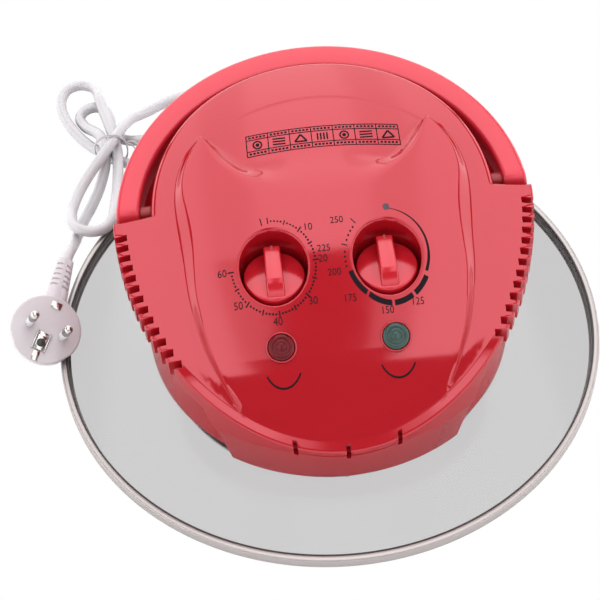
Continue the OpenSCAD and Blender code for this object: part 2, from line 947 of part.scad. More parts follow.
module motor_brackets() {
    color([0.72, 0.73, 0.75]) {
        bracket(bracket_low_z);
        bracket(bracket_high_z);
    }
}

module motor_stator() {
    z0 = stator_z;
    z1 = stator_z + stator_h;
    y1 = stator_y0 + stator_l;
    color([0.45, 0.45, 0.47])
        difference() {
            union() {
                block([-stator_w / 2, stator_y0, z0], [stator_w / 2, y1, z1]);
                stator_tie_places()
                    disc(screw_r + 1.5, bracket_low_z + bracket_t, bracket_high_z);
            }
            block([-coil_w / 2 - 3, y1 - limb - 14, z0 - eps], [coil_w / 2 + 3, y1 - limb, z1 + eps]);
            disc(rotor_r + rotor_gap, z0 - eps, z1 + eps);
            stator_tie_places()
                disc(screw_r + run, bracket_low_z, bracket_high_z + eps);
        }
}

module motor_coil() {
    y1 = stator_y0 + stator_l;
    color([0.72, 0.38, 0.16])
        difference() {
            block(
                [-coil_w / 2, y1 - limb - coil_r, stator_z - coil_r],
                [coil_w / 2, y1 + coil_r, stator_z + stator_h + coil_r]);
            block(
                [-coil_w, y1 - limb - skin, stator_z - skin],
                [coil_w, y1 + skin, stator_z + stator_h + skin]);
        }
}

module motor_rotor() {
    color([0.6, 0.6, 0.62])
        ring(axle_r + run, rotor_r, stator_z, stator_z + stator_h);
}

module motor_shaft() {
    color([0.8, 0.8, 0.82])
        disc(axle_r, axle_low, axle_high);
}

module motor_screws() {
    color([0.75, 0.75, 0.77]) {
        stator_tie_places()
            screw(bracket_high_z + bracket_t, bracket_low_z + 0.2, screw_r, screw_head_r, screw_head_h);
        motor_post_places()
            screw(bracket_low_z + bracket_t, plate_z + 1, screw_r, screw_head_r, screw_head_h);
    }
}

module cooling_fan() {
    z0 = plate_z + plate_t + 3;
    z1 = bracket_low_z - 2.5;
    color([0.85, 0.85, 0.8])
        difference() {
            union() {
                disc(cool_fan_r, z0, z0 + 1);
                disc(axle_r + 4, z0, z1);
                blades(9, axle_r + 3, cool_fan_r - 2, z0 + 0.5, z1, 25);
            }
            disc(axle_r + run, z0 - eps, z1 + eps);
        }
}

module heat_shield() {
    z = plate_z + plate_t;
    color([0.82, 0.82, 0.84])
        difference() {
            ring(axle_r + 6, shield_plate_r, z, z + shield_plate_t);
            motor_post_places()
                disc(post_r + slack, z - eps, z + 2);
            at_each([bulb_at])
                disc(1.4, z - eps, z + 2);
            block([-far, 38, z - eps], [far, far, z + 2]);
        }
}

// Controls

module timer_body() {
    h = 22;
    w = 36;
    color([0.9, 0.9, 0.86])
        difference() {
            translate([time_x, knob_y, control_z - h / 2])
                cube([w, w, h], center = true);
            control_screw_places()
                disc(1.7, control_z - 8, control_z + eps);
            translate([time_x, knob_y, 0])
                disc(shaft_d / 2 + run, control_z - 9, control_z + eps);
        }
}

module control_shaft(x) {
    translate([x, knob_y, 0])
        disc(shaft_d / 2, control_z - 8.5, knob_top - 3);
}

module timer_shaft() {
    color([0.8, 0.8, 0.82])
        control_shaft(time_x);
}

module thermostat_shaft() {
    color([0.8, 0.8, 0.82])
        control_shaft(temp_x);
}

module thermostat_body() {
    h = 14;
    color([0.72, 0.72, 0.74])
        difference() {
            translate([temp_x, knob_y, 0])
                disc(17, control_z - h, control_z);
            control_screw_places()
                disc(1.7, control_z - 8, control_z + eps);
            translate([temp_x, knob_y, 0])
                disc(shaft_d / 2 + run, control_z - 9, control_z + eps);
        }
}

module control_screws() {
    color([0.75, 0.75, 0.77])
        control_screw_places()
            screw(well_floor, control_z - 6, 1.6, 2.8, 1.4);
}

module knob(x) {
    bar_w = 9;
    bar_back = 12;
    bar_front = -8;
    bar_foot = -13.7;
    r = knob_d / 2;
    z0 = well_floor + 2.4;
    color([0.86, 0.17, 0.21])
        translate([x, knob_y, 0])
            difference() {
                union() {
                    disc(r, knob_top - 2.4, knob_top);
                    ring(r - 1.8, r, z0, knob_top - 1);
                    disc(shaft_d / 2 + 2.6, z0, knob_top - 1);
                    rotate([90, 0, 90])
                        translate([0, 0, -bar_w / 2])
                            linear_extrude(height = bar_w)
                                polygon([
                                    [bar_back, knob_top - 1], [bar_back, knob_top + grip_h],
                                    [bar_front, knob_top + grip_h], [bar_foot, knob_top - 0.4], [bar_foot, knob_top - 1]
                                ]);
                }
                disc(shaft_d / 2 + run, z0 - eps, knob_top - 3 + slack);
                block([-0.7, bar_back - 1, knob_top + 0.5], [0.7, bar_back + eps, knob_top + grip_h + eps]);
            }
}

module time_knob() {
    knob(time_x);
}

module temp_knob() {
    knob(temp_x);
}

module lens(s, c) {
    color(c)
        lamp_axis(s)
            intersection() {
                translate([0, 0, -8])
                    cylinder(r = lens_r, h = 12);
                translate([0, 0, collar_h + 0.6 - 1.6 * lens_r])
                    sphere(r = 1.6 * lens_r);
                translate([0, 0, -7])
                    cylinder(r = lens_r, h = 14);
            }
}

module power_lens() {
    lens(-1, [0.45, 0.06, 0.08]);
}

module heat_lens() {
    lens(1, [0.3, 0.4, 0.35]);
}

module neon_lamps() {
    color([0.95, 0.7, 0.5])
        for (s = [-1, 1])
            lamp_axis(s)
                union() {
                    translate([0, 0, -9])
                        cylinder(r = lens_r - 1, h = 2);
                    translate([0, 0, -20])
                        cylinder(r = 3, h = 11.5);
                }
}

module thermal_fuse() {
    z = plate_z + plate_t + shield_plate_t;
    color([0.75, 0.72, 0.6])
        union() {
            translate([-56, 8, z + 2.6])
                rotate([90, 0, 0])
                    cylinder(r = 2.6, h = 16, center = true);
            block([-59.5, 4, z], [-52.5, 12, z + 1.4]);
        }
}

module terminal_block() {
    z = plate_z + plate_t;
    color([0.94, 0.93, 0.9])
        difference() {
            block([exit_x - 17, 56, z], [exit_x + 17, 70, z + 16]);
            for (dx = [-10, 0, 10])
                translate([exit_x + dx, 63, 0])
                    disc(2.6, z + 9, z + 16 + eps);
        }
}

module mains_wires() {
    color([0.35, 0.3, 0.6])
        for (dx = [-2.1, 0, 2.1])
            translate([exit_x + dx, 70 + skin, exit_z - 4.2 + (dx == 0 ? 1.6 : 0)])
                rotate([-90, 0, 0])
                    cylinder(r = 0.9, h = exit_y - grommet_in - 70 - 2 * skin, $fn = 24);
}

// Lead and plug

module cord_grommet() {
    color([0.93, 0.93, 0.93])
        translate([exit_x, exit_y, exit_z])
            rotate([-90, 0, 0])
                difference() {
                    union() {
                        translate([0, 0, -grommet_in])
                            cylinder(r = cord_r + 1.5, h = grommet_in + 6);
                        translate([0, 0, -grommet_in])
                            cylinder(r = cord_r + 3.2, h = grommet_in - wall - 2.2);
                        translate([0, 0, 2.2])
                            cylinder(r1 = cord_r + 3.4, r2 = cord_r + 1, h = grommet_end - exit_y - 2.2);
                    }
                    for (i = [0 : 4])
                        translate([0, 0, 8 + 5 * i])
                            ring(cord_r + 0.7, cord_r + 5, 0, 1.6);
                }
}

module cord_lead() {
    color([0.93, 0.93, 0.93])
        tube(curve(lead_route, 1), cord_r, 10, [0, 1, 0], hank_in);
}

hank_in = unit(hank_route[1] - lead_route[len(lead_route) - 2]);
hank_out = unit(tail_route[1] - hank_route[len(hank_route) - 2]);
hank_line = curve(hank_route, 2);
echo(str("hank gap mm ", least_gap(hank_line, cord_r, 4), ", turns of line ", len(hank_line)));

module cord_hank() {
    color([0.93, 0.93, 0.93])
        tube(hank_line, cord_r, 6, hank_in, hank_out);
}

module cord_tail() {
    color([0.93, 0.93, 0.93])
        tube(curve(tail_route, 2), cord_r, 10, hank_out, unit(neck_to - neck_from) * -1);
}

module slot_shape(r, half) {
    for (s = [-1, 1])
        translate([0, s * half])
            circle(r = r);
    square([2 * r, 2 * half], center = true);
}

// Flat loop of wire round the crossing of the hank, with its twisted end
module cord_tie() {
    color([0.9, 0.9, 0.9]) {
        translate(tie_at)
            rotate([90, 0, 0])
                linear_extrude(height = 2.4, center = true)
                    difference() {
                        slot_shape(tie_in_r + 0.8, tie_half);
                        slot_shape(tie_in_r, tie_half);
                    }
        taper(tie_at + [tie_in_r + 0.3, 0, 3], tie_at + [tie_in_r + 16, 2, 1], 1, 0.7);
    }
}

module on_plug() {
    translate(plug_at)
        rotate(plug_turn)
            children();
}

// Taper from one point to another
module taper(a, b, r0, r1) {
    d = b - a;
    translate(a)
        rotate([0, acos(d.z / norm(d)), atan2(d.y, d.x)])
            cylinder(r1 = r0, r2 = r1, h = norm(d));
}

module plug_body() {
    r = plug_d / 2;
    color([0.92, 0.92, 0.93])
        difference() {
            union() {
                on_plug()
                    rotate_extrude()
                        polygon([
                            [0, -plug_deep - 1], [8, -plug_deep - 1], [11, -plug_deep + 0.5], [r - 0.5, -plug_edge],
                            [r, -plug_edge + 0.5], [r, -0.8], [r - 0.8, 0], [0, 0]
                        ]);
                taper(neck_from, neck_to, neck_r0, neck_r1);
                translate(neck_from)
                    sphere(r = neck_r0 + 0.5);
            }
            on_plug()
                for (s = [-1, 1])
                    translate([0, s * plug_pitch / 2, -plug_edge])
                        cylinder(r = plug_root_r + skin, h = plug_edge + 1);
            on_plug()
                earth_plate(skin);
        }
}

module earth_plate(grow) {
    g = grow;
    union() {
        block([-14.5 - g, -3.6 - g, -1.6 - g], [-5 + g, 3.6 + g, 1]);
        block([-plug_d / 2 - 1, -2 - g, -1.2 - g], [-14 + g, 2 + g, 1]);
        block([12 - g, -3.4 - g, -1.6 - g], [14.5 + g, 3.4 + g, 1]);
    }
}

module plug_pins() {
    color([0.82, 0.81, 0.8])
        on_plug()
            for (s = [-1, 1])
                translate([0, s * plug_pitch / 2, -plug_edge])
                    union() {
                        cylinder(r = plug_root_r, h = plug_edge + 1);
                        translate([0, 0, plug_edge])
                            cylinder(r = plug_pin_d / 2, h = plug_pin_l - plug_pin_d / 2);
                        translate([0, 0, plug_edge + plug_pin_l - plug_pin_d / 2])
                            sphere(r = plug_pin_d / 2);
                    }
}

module plug_earth_clips() {
    color([0.85, 0.84, 0.82])
        on_plug()
            difference() {
                intersection() {
                    earth_plate(0);
                    translate([0, 0, -2])
                        cylinder(r = plug_d / 2 - 0.2, h = 2.3);
                }
                translate([-11.5, 0, -3])
                    cylinder(r = 2.4, h = 6);
            }
}

glass_lid();
lid_rim();
rim_gasket();
hub_gaskets();
hub_plate();
hub_screws();
reflector_pan();
heater_guard();
guard_screws();
halogen_lamp();
lamp_filament();
lamp_holders();
convection_fan();
fan_nut();
lower_housing();
upper_housing();
housing_screws();
handle();
handle_pins();
switch_cam();
micro_switch();
switch_plunger();
motor_stator();
motor_coil();
motor_brackets();
motor_rotor();
motor_shaft();
motor_posts();
motor_screws();
cooling_fan();
heat_shield();
timer_body();
timer_shaft();
time_knob();
thermostat_body();
thermostat_shaft();
thermostat_bulb();
temp_knob();
control_screws();
power_lens();
heat_lens();
neon_lamps();
thermal_fuse();
terminal_block();
mains_wires();
cord_grommet();
cord_lead();
cord_hank();
cord_tail();
cord_tie();
plug_body();
plug_pins();
plug_earth_clips();
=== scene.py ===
from contextlib import contextmanager
from math import asin, atan2, copysign, cos, hypot, pi, radians, sin, sqrt

import bmesh
import bpy
import numpy as np
from mathutils import Matrix, Vector
from mathutils.geometry import delaunay_2d_cdt


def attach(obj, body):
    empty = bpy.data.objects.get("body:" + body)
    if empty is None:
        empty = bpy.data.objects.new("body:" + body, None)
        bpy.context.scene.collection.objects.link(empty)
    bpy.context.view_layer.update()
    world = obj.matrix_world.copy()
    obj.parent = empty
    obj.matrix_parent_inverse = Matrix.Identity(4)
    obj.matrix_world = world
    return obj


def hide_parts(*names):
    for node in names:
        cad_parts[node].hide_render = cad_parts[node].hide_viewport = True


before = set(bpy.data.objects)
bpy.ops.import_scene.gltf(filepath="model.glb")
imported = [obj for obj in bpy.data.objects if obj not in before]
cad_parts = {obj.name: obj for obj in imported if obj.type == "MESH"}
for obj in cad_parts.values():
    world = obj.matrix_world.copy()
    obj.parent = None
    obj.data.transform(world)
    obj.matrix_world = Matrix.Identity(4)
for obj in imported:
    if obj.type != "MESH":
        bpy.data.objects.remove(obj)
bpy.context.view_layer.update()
scene = bpy.context.scene
MM = 0.001


def added(name, data):
    ob = bpy.data.objects.new(name, data)
    scene.collection.objects.link(ob)
    return ob


def turned(degrees, axis):
    return Matrix.Rotation(radians(degrees), 4, axis)


def around(n):
    return [2 * pi * k / n for k in range(n)]


# ---- camera
CAM_RIGHT = Vector((0.99481, -0.09398, -0.03901))
CAM_UP = Vector((0.09784, 0.77821, 0.62034))
CAM_BACK = Vector((-0.02795, -0.62094, 0.78336))
CAM_TARGET = Vector((-12.853, 33.919, 0))
CAM_DISTANCE = 900

cam_data = bpy.data.cameras.new("view_camera")
cam_data.lens = 95.93
cam_data.sensor_width = 36
cam_data.clip_end = 20
camera = added("view_camera", cam_data)
turn = Matrix([axis.normalized() for axis in (CAM_RIGHT, CAM_UP, CAM_BACK)]).transposed()
cam_place = Matrix.Translation((CAM_TARGET + CAM_BACK * CAM_DISTANCE) * MM)
camera.matrix_world = cam_place @ turn.to_4x4()
scene.camera = camera

# ---- sizes shared with the CAD, in mm
DOME_R, DOME_Y, DOME_K = 236.4, 75.8, 5.3e-4
DOME_Z = 134.2 - DOME_R
CAPE_R, SEAM_Y, CORE_Y = 104, 1.3, -2
CORE_R0, CORE_R1, CORE_TOP, PART_Z = 88, 84.8, 140.2, 78.3
REAR_R = 85.3
BAND_H, WALL, LIFT = 10, 2.5, 3.5
CHIN_Z, CHIN_TOP, CHIN_IN = 25.5, 52, 3.5
DRUM_R, DRUM_Z, DRUM_TOP_R, DRUM_Y = 96, 26.375, 89.5, -1
KNOB_X, KNOB_Y, KNOB_R = 27.6, -31.8, 15
WELL_R, WELL_FLOOR, KNOB_TOP = 16.6, 91.975, 103.975
LAMP_X, LAMP_Y, LENS_R = 27.7, -65.9, 6.6
LAMP_TILT = 36.3
PIVOT_Y, PIVOT_Z = 10, 111.245
HANDLE_R, HANDLE_IN, HANDLE_T, HANDLE_TILT = 102.5, 91, 14, radians(7.1)
RIM_R, RIM_Z, RIM_H = 145, 13.4, 6.6
GLASS_TOP, GLASS_T = 31.48, 4
GLASS_BALL = (143 ** 2 + 12.98 ** 2) / 25.96
CORD_R = 3.2
VENTS, VENT_W, VENT_PITCH, VENT_IN = 13, 2.9, 4.8, 6.4
NOTCHES, NOTCH_HALF, NOTCH_DEEP, NOTCH_DOWN = (-25.5, 0, 25.5), 1.05, 3.2, 5


# ---- materials
def put(node, values):
    for socket, value in values.items():
        node.inputs[socket].default_value = value


def shader(name, base, rough, metallic, speckle, scale, bump, bump_scale=900, spread=0.06,
           specular=0.5, tint=(1, 1, 1), coat=0, stretch=(1, 1, 1)):
    """Colour and roughness vary with one fine noise, the surface's relief with a second one."""
    m = bpy.data.materials.new(name)
    m.use_nodes = True
    t = m.node_tree
    b = t.nodes["Principled BSDF"]
    put(b, {"Metallic": metallic, "Specular IOR Level": specular, "Specular Tint": (*tint, 1),
            "Coat Weight": coat, "Coat Roughness": 0.03})

    def node(kind, values, output, target, socket):
        n = t.nodes.new("ShaderNode" + kind)
        if kind == "Mix":
            n.data_type = "RGBA"
        put(n, values)
        t.links.new(n.outputs[output], target.inputs[socket])
        return n

    mix = node("Mix", {"A": (*[c * (1 - speckle) for c in base], 1),
                       "B": (*[min(1, c * (1 + speckle)) for c in base], 1)},
               "Result", b, "Base Color")
    limits = {"To Min": max(0, rough - spread), "To Max": min(1, rough + spread)}
    level = node("MapRange", limits, "Result", b, "Roughness")
    grain = node("TexNoise", {"Scale": scale, "Detail": 4}, "Fac", mix, "Factor")
    t.links.new(grain.outputs["Fac"], level.inputs["Value"])
    place = node("Mapping", {"Scale": stretch}, "Vector", grain, "Vector")
    node("TexCoord", {}, "Object", place, "Vector")
    if bump > 0:
        relief = node("Bump", {"Strength": bump, "Distance": 0.0005}, "Normal", b, "Normal")
        fine = node("TexNoise", {"Scale": bump_scale, "Detail": 3}, "Fac", relief, "Height")
        t.links.new(place.outputs["Vector"], fine.inputs["Vector"])
    return m


def overlaid(m, kind, colour, ray=None):
    """Second shader, added to a material's own or put in its place for one kind of ray."""
    t = m.node_tree
    other = t.nodes.new(kind)
    put(other, {"Color": (*colour, 1)})
    join = t.nodes.new("ShaderNodeMixShader" if ray else "ShaderNodeAddShader")
    first = 1 if ray else 0
    if ray:
        t.links.new(t.nodes.new("ShaderNodeLightPath").outputs[ray], join.inputs["Fac"])
    t.links.new(t.nodes["Principled BSDF"].outputs["BSDF"], join.inputs[first])
    t.links.new(other.outputs[0], join.inputs[first + 1])
    t.links.new(join.outputs["Shader"], t.nodes["Material Output"].inputs["Surface"])
    return m


RED = (0.255, 0.0036, 0.0075)
RED_GLOSS = (1, 0.40, 0.46)
# name, colour, roughness, metallic, speckle, grain scale, bump, bump scale, roughness spread,
# specular level and tint
M = {
    "red": shader("red_moulding", RED, 0.10, 0, 0.03, 60, 0.012, 45, 0.03, 1, RED_GLOSS),
    "red_satin": shader("red_moulding_satin", (0.36, 0.010, 0.020), 0.32, 0, 0.03, 80, 0.03, 300,
                        0.05, 1, RED_GLOSS),
    "red_knob": shader("red_moulding_knob", (0.33, 0.006, 0.012), 0.18, 0, 0.03, 90, 0.02, 120,
                       0.03, 1, RED_GLOSS),
    "dark_red": shader("red_moulding_shadow", (0.22, 0.003, 0.006), 0.5, 0, 0.05, 300, 0.03),
    "print": shader("dial_print", (0.010, 0.006, 0.008), 0.5, 0, 0.25, 700, 0.05, specular=0.03),
    "print_grey": shader("dial_print_grey", (0.06, 0.04, 0.055), 0.5, 0, 0.25, 700, 0.05,
                         specular=0.15),
    "glass": shader("lid_glass", (0.006, 0.006, 0.006), 0.12, 0, 0.1, 30, 0.01, 25, 0.03, 0.09),
    "rim": shader("rim_band", (0.30, 0.275, 0.27), 0.45, 1, 0.05, 220, 0.05, 500,
                  stretch=(1, 1, 14)),
    "seal": shader("rim_seal", (0.012, 0.012, 0.013), 0.55, 0, 0.2, 500, 0.1, 800),
    # Pale grey-green for the seal's faces seen through the glass: painted light in place of the
    # black rubber
    "slot": shader("seal_slot_painted_light", (0.44, 0.47, 0.45), 0.6, 0, 0.05, 300, 0.05),
    "seal_red": shader("hub_seal", (0.30, 0.06, 0.04), 0.6, 0, 0.12, 500, 0.1),
    "steel": shader("zinc_steel", (0.55, 0.55, 0.56), 0.32, 1, 0.1, 500, 0.05),
    "pan": shader("reflector_sheet", (0.86, 0.86, 0.87), 0.42, 1, 0.04, 260, 0.04, 300),
    "guard": shader("guard_sheet", (0.62, 0.62, 0.63), 0.3, 1, 0.07, 300, 0.06, 500),
    "quartz": shader("quartz_tube", (0.95, 0.95, 0.96), 0, 0, 0.01, 30, 0.01, 25, 0.005),
    "wire": shader("tungsten", (0.22, 0.21, 0.2), 0.45, 1, 0.2, 2500, 0.6, 3000),
    "ceramic": shader("steatite", (0.80, 0.78, 0.72), 0.45, 0, 0.05, 500, 0.08),
    "fan": shader("fan_sheet", (0.60, 0.60, 0.61), 0.35, 1, 0.08, 400, 0.05),
    "brass": shader("brass_nut", (0.72, 0.52, 0.2), 0.3, 1, 0.08, 400, 0.04),
    "black": shader("black_moulding", (0.02, 0.02, 0.022), 0.4, 0, 0.15, 500, 0.05),
    "nylon": shader("nylon", (0.72, 0.71, 0.65), 0.45, 0, 0.05, 300, 0.05),
    "stack": shader("laminations", (0.16, 0.16, 0.17), 0.45, 0.6, 0.15, 60, 0.5,
                    stretch=(0.05, 0.05, 3)),
    "copper": shader("winding", (0.60, 0.24, 0.09), 0.32, 1, 0.2, 900, 0.5, 1600,
                     stretch=(1, 6, 1)),
    "fuse": shader("fuse_sleeve", (0.6, 0.55, 0.4), 0.7, 0, 0.15, 1500, 0.3),
    "cores": shader("wire_cores", (0.1, 0.12, 0.4), 0.4, 0, 0.1, 500, 0.05),
    "cord": shader("lead_sheath", (0.35, 0.335, 0.35), 0.38, 0, 0.02, 250, 0.04, 700, coat=0.1),
    "plug": shader("plug_moulding", (0.37, 0.335, 0.355), 0.34, 0, 0.02, 180, 0.04, 600,
                   coat=0.15),
    "sleeve": shader("pin_sleeve", (0.50, 0.50, 0.50), 0.4, 0, 0.05, 400, 0.04),
    "nickel": shader("nickel", (0.42, 0.395, 0.38), 0.2, 1, 0.04, 500, 0.03),
    # Near-black for the plug's earth hole: painted shade
    "dark": shader("hole_painted_shade", (0.01, 0.01, 0.01), 0.5, 0, 0.2, 500, 0.05),
    "lens_red": shader("power_lens_red", (0.085, 0.003, 0.006), 0.12, 0, 0.5, 260, 0.05, 300,
                       specular=0.15),
    "lens_green": shader("heat_lens_green", (0.020, 0.042, 0.036), 0.12, 0, 0.6, 220, 0.05, 300,
                         specular=0.25),
    "neon": shader("neon_bulb", (0.8, 0.5, 0.35), 0.15, 0, 0.05, 500, 0.03),
}
# Each glass surface lets light straight through, dimmed to three quarters, under a faint gloss; the
# dimming is painted shade for the table under the lid, far more than clear glass takes
overlaid(M["glass"], "ShaderNodeBsdfTransparent", (0.755, 0.75, 0.752))
put(M["quartz"].node_tree.nodes["Principled BSDF"], {"Transmission Weight": 1})
overlaid(M["quartz"], "ShaderNodeBsdfTransparent", (0.9, 0.92, 0.91), "Is Shadow Ray")


# ---- mesh helpers
def catmull(points, n):
    p = [Vector(q) for q in points]
    out = []
    for i in range(len(p) - 1):
        a, b, c, d = p[max(i - 1, 0)], p[i], p[i + 1], p[min(i + 2, len(p) - 1)]
        for k in range(n):
            t = k / n
            out.append(0.5 * (2 * b + (c - a) * t + (2 * a - 5 * b + 4 * c - d) * t * t
                              + (3 * b - a - 3 * c + d) * t ** 3))
    return out + [p[-1]]


def build(name, part, mat, replaces="", body="lid", smooth=True, sharp=None,
          normals=None):
    """New piece from points in mm. normals gives one normal per corner where they are known."""
    me = bpy.data.meshes.new(name)
    me.from_pydata([tuple(float(c) * MM for c in v) for v in part[0]], [],
                   [tuple(int(i) for i in f) for f in part[1]])
    if normals is None:
        me.validate()
        me.update()
    ob = added(name, me)
    for m in mat if isinstance(mat, tuple) else (mat,):
        me.materials.append(m)
    if smooth:
        me.polygons.foreach_set("use_smooth", [True] * len(me.polygons))
    if normals is not None:
        me.normals_split_custom_set([tuple(float(c) for c in n) for n in normals])
    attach(ob, body)
    if replaces:
        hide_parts(*replaces.split())
    if sharp:
        sharpen(ob, sharp)
    return ob


@contextmanager
def edited(ob):
    bm = bmesh.new()
    bm.from_mesh(ob.data)
    yield bm
    bm.to_mesh(ob.data)
    bm.free()


def sharpen(ob, degrees):
    with edited(ob) as bm:
        for e in bm.edges:
            e.smooth = len(e.link_faces) == 2 and e.calc_face_angle(0) < radians(degrees)


def bevelled(ob, width, segments):
    with edited(ob) as bm:
        bmesh.ops.remove_doubles(bm, verts=bm.verts, dist=1e-6)
        edges = [e for e in bm.edges
                 if len(e.link_faces) == 2 and e.calc_face_angle(0) > radians(30)]
        bmesh.ops.bevel(bm, geom=edges, offset=width * MM, segments=segments, profile=0.5,
                        affect="EDGES", clamp_overlap=True)
    me = ob.data
    me.polygons.foreach_set("use_smooth", [True] * len(me.polygons))
    sharpen(ob, 50)


def grid(rows, cols, ring_rows=False, ring_cols=False, flip=False):
    """Quads between neighbours in a grid of points; a ring closes on itself."""
    faces = []
    for i in range(rows if ring_rows else rows - 1):
        for j in range(cols if ring_cols else cols - 1):
            i2, j2 = (i + 1) % rows * cols, (j + 1) % cols
            a, b, c, d = i * cols + j, i * cols + j2, i2 + j2, i2 + j
            faces.append((a, b, c, d) if flip else (a, d, c, b))
    return faces


def circle_points(cx, cy, r, n, ry=None):
    return [(cx + r * cos(a), cy + (ry or r) * sin(a)) for a in around(n)]


def lathe(profile, n, close=True):
    """Points (r, z) turned about Z; a closed profile is an outline that ends where it starts."""
    verts = [(r * cos(a), r * sin(a), z) for a in around(n) for r, z in profile]
    return verts, grid(n, len(profile), True, close)


def moved(part, matrix):
    return [tuple(matrix @ Vector(v)) for v in part[0]], part[1]


def joined(*parts):
    verts, faces = [], []
    for v, f in parts:
        k = len(verts)
        verts += list(v)
        faces += [tuple(i + k for i in q) for q in f]
    return verts, faces


def tube(path, radius, n):
    """Capped tube along a list of points."""
    p = [Vector(q) for q in path]
    verts = []
    up = Vector((0, 0, 1))
    for i, q in enumerate(p):
        d = (p[min(i + 1, len(p) - 1)] - p[max(i - 1, 0)]).normalized()
        up = (up - up.dot(d) * d).normalized()
        side = d.cross(up)
        verts += [tuple(q + radius * (cos(a) * up + sin(a) * side)) for a in around(n)]
    ends = [tuple(range(n - 1, -1, -1)), tuple((len(p) - 1) * n + k for k in range(n))]
    return verts, grid(len(p), n, ring_cols=True, flip=True) + ends


def slab(x0, x1, y0, y1, z0, z1):
    v = [(x, y, z) for x in (x0, x1) for y in (y0, y1) for z in (z0, z1)]
    return v, [(0, 1, 3, 2), (4, 6, 7, 5), (0, 4, 5, 1), (2, 3, 7, 6), (0, 2, 6, 4), (1, 5, 7, 3)]


# ---- the lead
# Points in mm; the ones without a height lie on the table
REST_Z = 3.3
LEAD_ROUTE = [
    (-16, 104, 45), (-16, 115, 45), (-16, 125, 45), (-16, 134, 44.4), (-17, 147, 40.5),
    (-19, 159, 32.5), (-22, 170, 22), (-27, 181, 11.5), (-34, 191, 5), (-44, 199), (-57, 203),
    (-71, 202.5), (-84, 197), (-92, 191, 4.5), (-98, 185, 7.5), (-102.5, 179, 11), (-106, 171, 15),
    (-109, 162, 18.6), (-113.5, 152, 20.3), (-120.5, 141, 19), (-128, 131, 16),
    (-134.5, 119.5, 14), (-138.5, 106, 14.5), (-138.5, 96, 18), (-137, 88, 21),
    (-132.5, 81.5, 23.4), (-125.5, 79, 23.8), (-118.5, 81, 23.8), (-114, 88, 23.8), (-113, 97, 22),
    (-112.5, 110, 16.5), (-112, 123, 13), (-111.5, 137, 12), (-111.5, 150, 11.9),
    (-113.5, 163, 11.5), (-116.5, 176, 11.2), (-119.5, 188, 11), (-121.8, 199, 10.9),
    (-123.4, 208, 8), (-127, 216.5, 4.6), (-134.5, 220.8), (-142, 218.2), (-146, 211),
    (-146.5, 202), (-144, 192), (-138.5, 180), (-131, 169), (-123.5, 160.5, 4.2),
    (-117, 154.5, 4.9), (-109, 149, 4.9), (-100, 145.5, 3.8), (-90, 145), (-82.5, 149.5),
    (-80.5, 157.5), (-85, 164.5), (-94, 167.5), (-104, 168), (-111.5, 172), (-115.5, 181),
    (-116.8, 190.5), (-119.8, 197), (-126, 199.8), (-132.3, 197), (-135, 190.5),
    (-131.5, 182.5, 3.9), (-126.5, 175.5, 7), (-122, 167.5, 10.4), (-119.6, 158, 11.8),
    (-118.8, 149, 11.6), (-120, 139, 9.4), (-123.5, 129, 5.5), (-127, 121, 3.6), (-129.5, 115),
    (-132, 109, 3.6), (-134.5, 98, 7.5), (-135.8, 87, 12.6), (-137, 76.5, 18.2),
    (-138.8, 65.5, 24), (-141, 54.5, 27.5), (-142.5, 47, 28.5),
]
lead_line = catmull([(*p, REST_Z)[:3] for p in LEAD_ROUTE], 5)
lead = build("mains_lead", tube(lead_line, CORD_R, 20), M["cord"],
             "cord_lead cord_hank cord_tail")

# ---- plug
PLUG_AT = Vector((-150.1, 4, 34))
PLUG_TURN = turned(64.1, "Z") @ turned(-15.5, "Y") @ turned(27.8, "X")
ON_PLUG = Matrix.Translation(PLUG_AT) @ PLUG_TURN
PLUG_R = 19
PLUG_FLATS = ((radians(236), 18.45), (radians(128), 18.5))
PLUG_PROFILE = [(0, 0), (0.6, 0), (0.93, 0), (0.965, -0.08), (0.99, -0.45), (1, -1.1),
                (1, -3.4), (0.985, -4), (0.95, -4.4), (0.62, -9.2), (0.5, -10.4),
                (0.3, -11), (0, -11)]
PIN_Y = (-9.5, 9.5)


def plug_disc():
    """Face disc with a rounded edge, straight facets on two sides and a conical back."""
    n = 96
    verts = []
    for a in around(n):
        r = PLUG_R
        for mid, cut in PLUG_FLATS:
            off = cos(a - mid)
            if off > 0.9:
                r = min(r, cut / off)
        verts += [(q * r * cos(a), q * r * sin(a), z) for q, z in PLUG_PROFILE]
    m = len(PLUG_PROFILE)
    return verts, [f if f[0] % m else f[:3] for f in grid(n, m, ring_rows=True, flip=True)]


NECK_A, NECK_B = Vector((-149.1, 14, 29.7)), Vector((-141, 54.5, 27.5))
GROOVES, GROOVE_AT, GROOVE_PITCH, GROOVE_HALF, GROOVE_DEEP = 5, 0.49, 0.095, 0.016, 0.75
NECK_SQUARENESS = 0.82


def plug_neck():
    """Neck that tapers to the lead, wider than deep, with two rows of grooves on its upper side."""
    axis = (NECK_B - NECK_A).normalized()
    length = (NECK_B - NECK_A).length
    normal = (ON_PLUG.to_3x3() @ Vector((0, 0, 1)))
    up = (normal - normal.dot(axis) * axis).normalized()
    side = up.cross(axis).normalized()
    n, steps = 48, 150
    verts = []
    for i in range(steps + 1):
        s = i / steps
        w, h = 7.9 - 3.2 * s ** 0.8, 6.9 - 2.4 * s
        for a in around(n):
            ca, sa = cos(a), sin(a)
            in_row = any(abs(s - (GROOVE_AT + GROOVE_PITCH * g) - 0.02 * ca) < GROOVE_HALF
                         for g in range(GROOVES))
            dip = GROOVE_DEEP if in_row and 0.2 < abs(ca) < 0.86 and sa > 0.2 else 0
            x = w * copysign(abs(ca) ** NECK_SQUARENESS, ca)
            y = h * copysign(abs(sa) ** NECK_SQUARENESS, sa)
            k0 = 1 - dip / max(hypot(x, y), 1e-6)
            verts.append(tuple(NECK_A + axis * (s * length) + side * (x * k0) + up * (y * k0)))
    ends = [tuple(range(n)), tuple(steps * n + k for k in range(n - 1, -1, -1))]
    return verts, grid(steps + 1, n, ring_cols=True) + ends


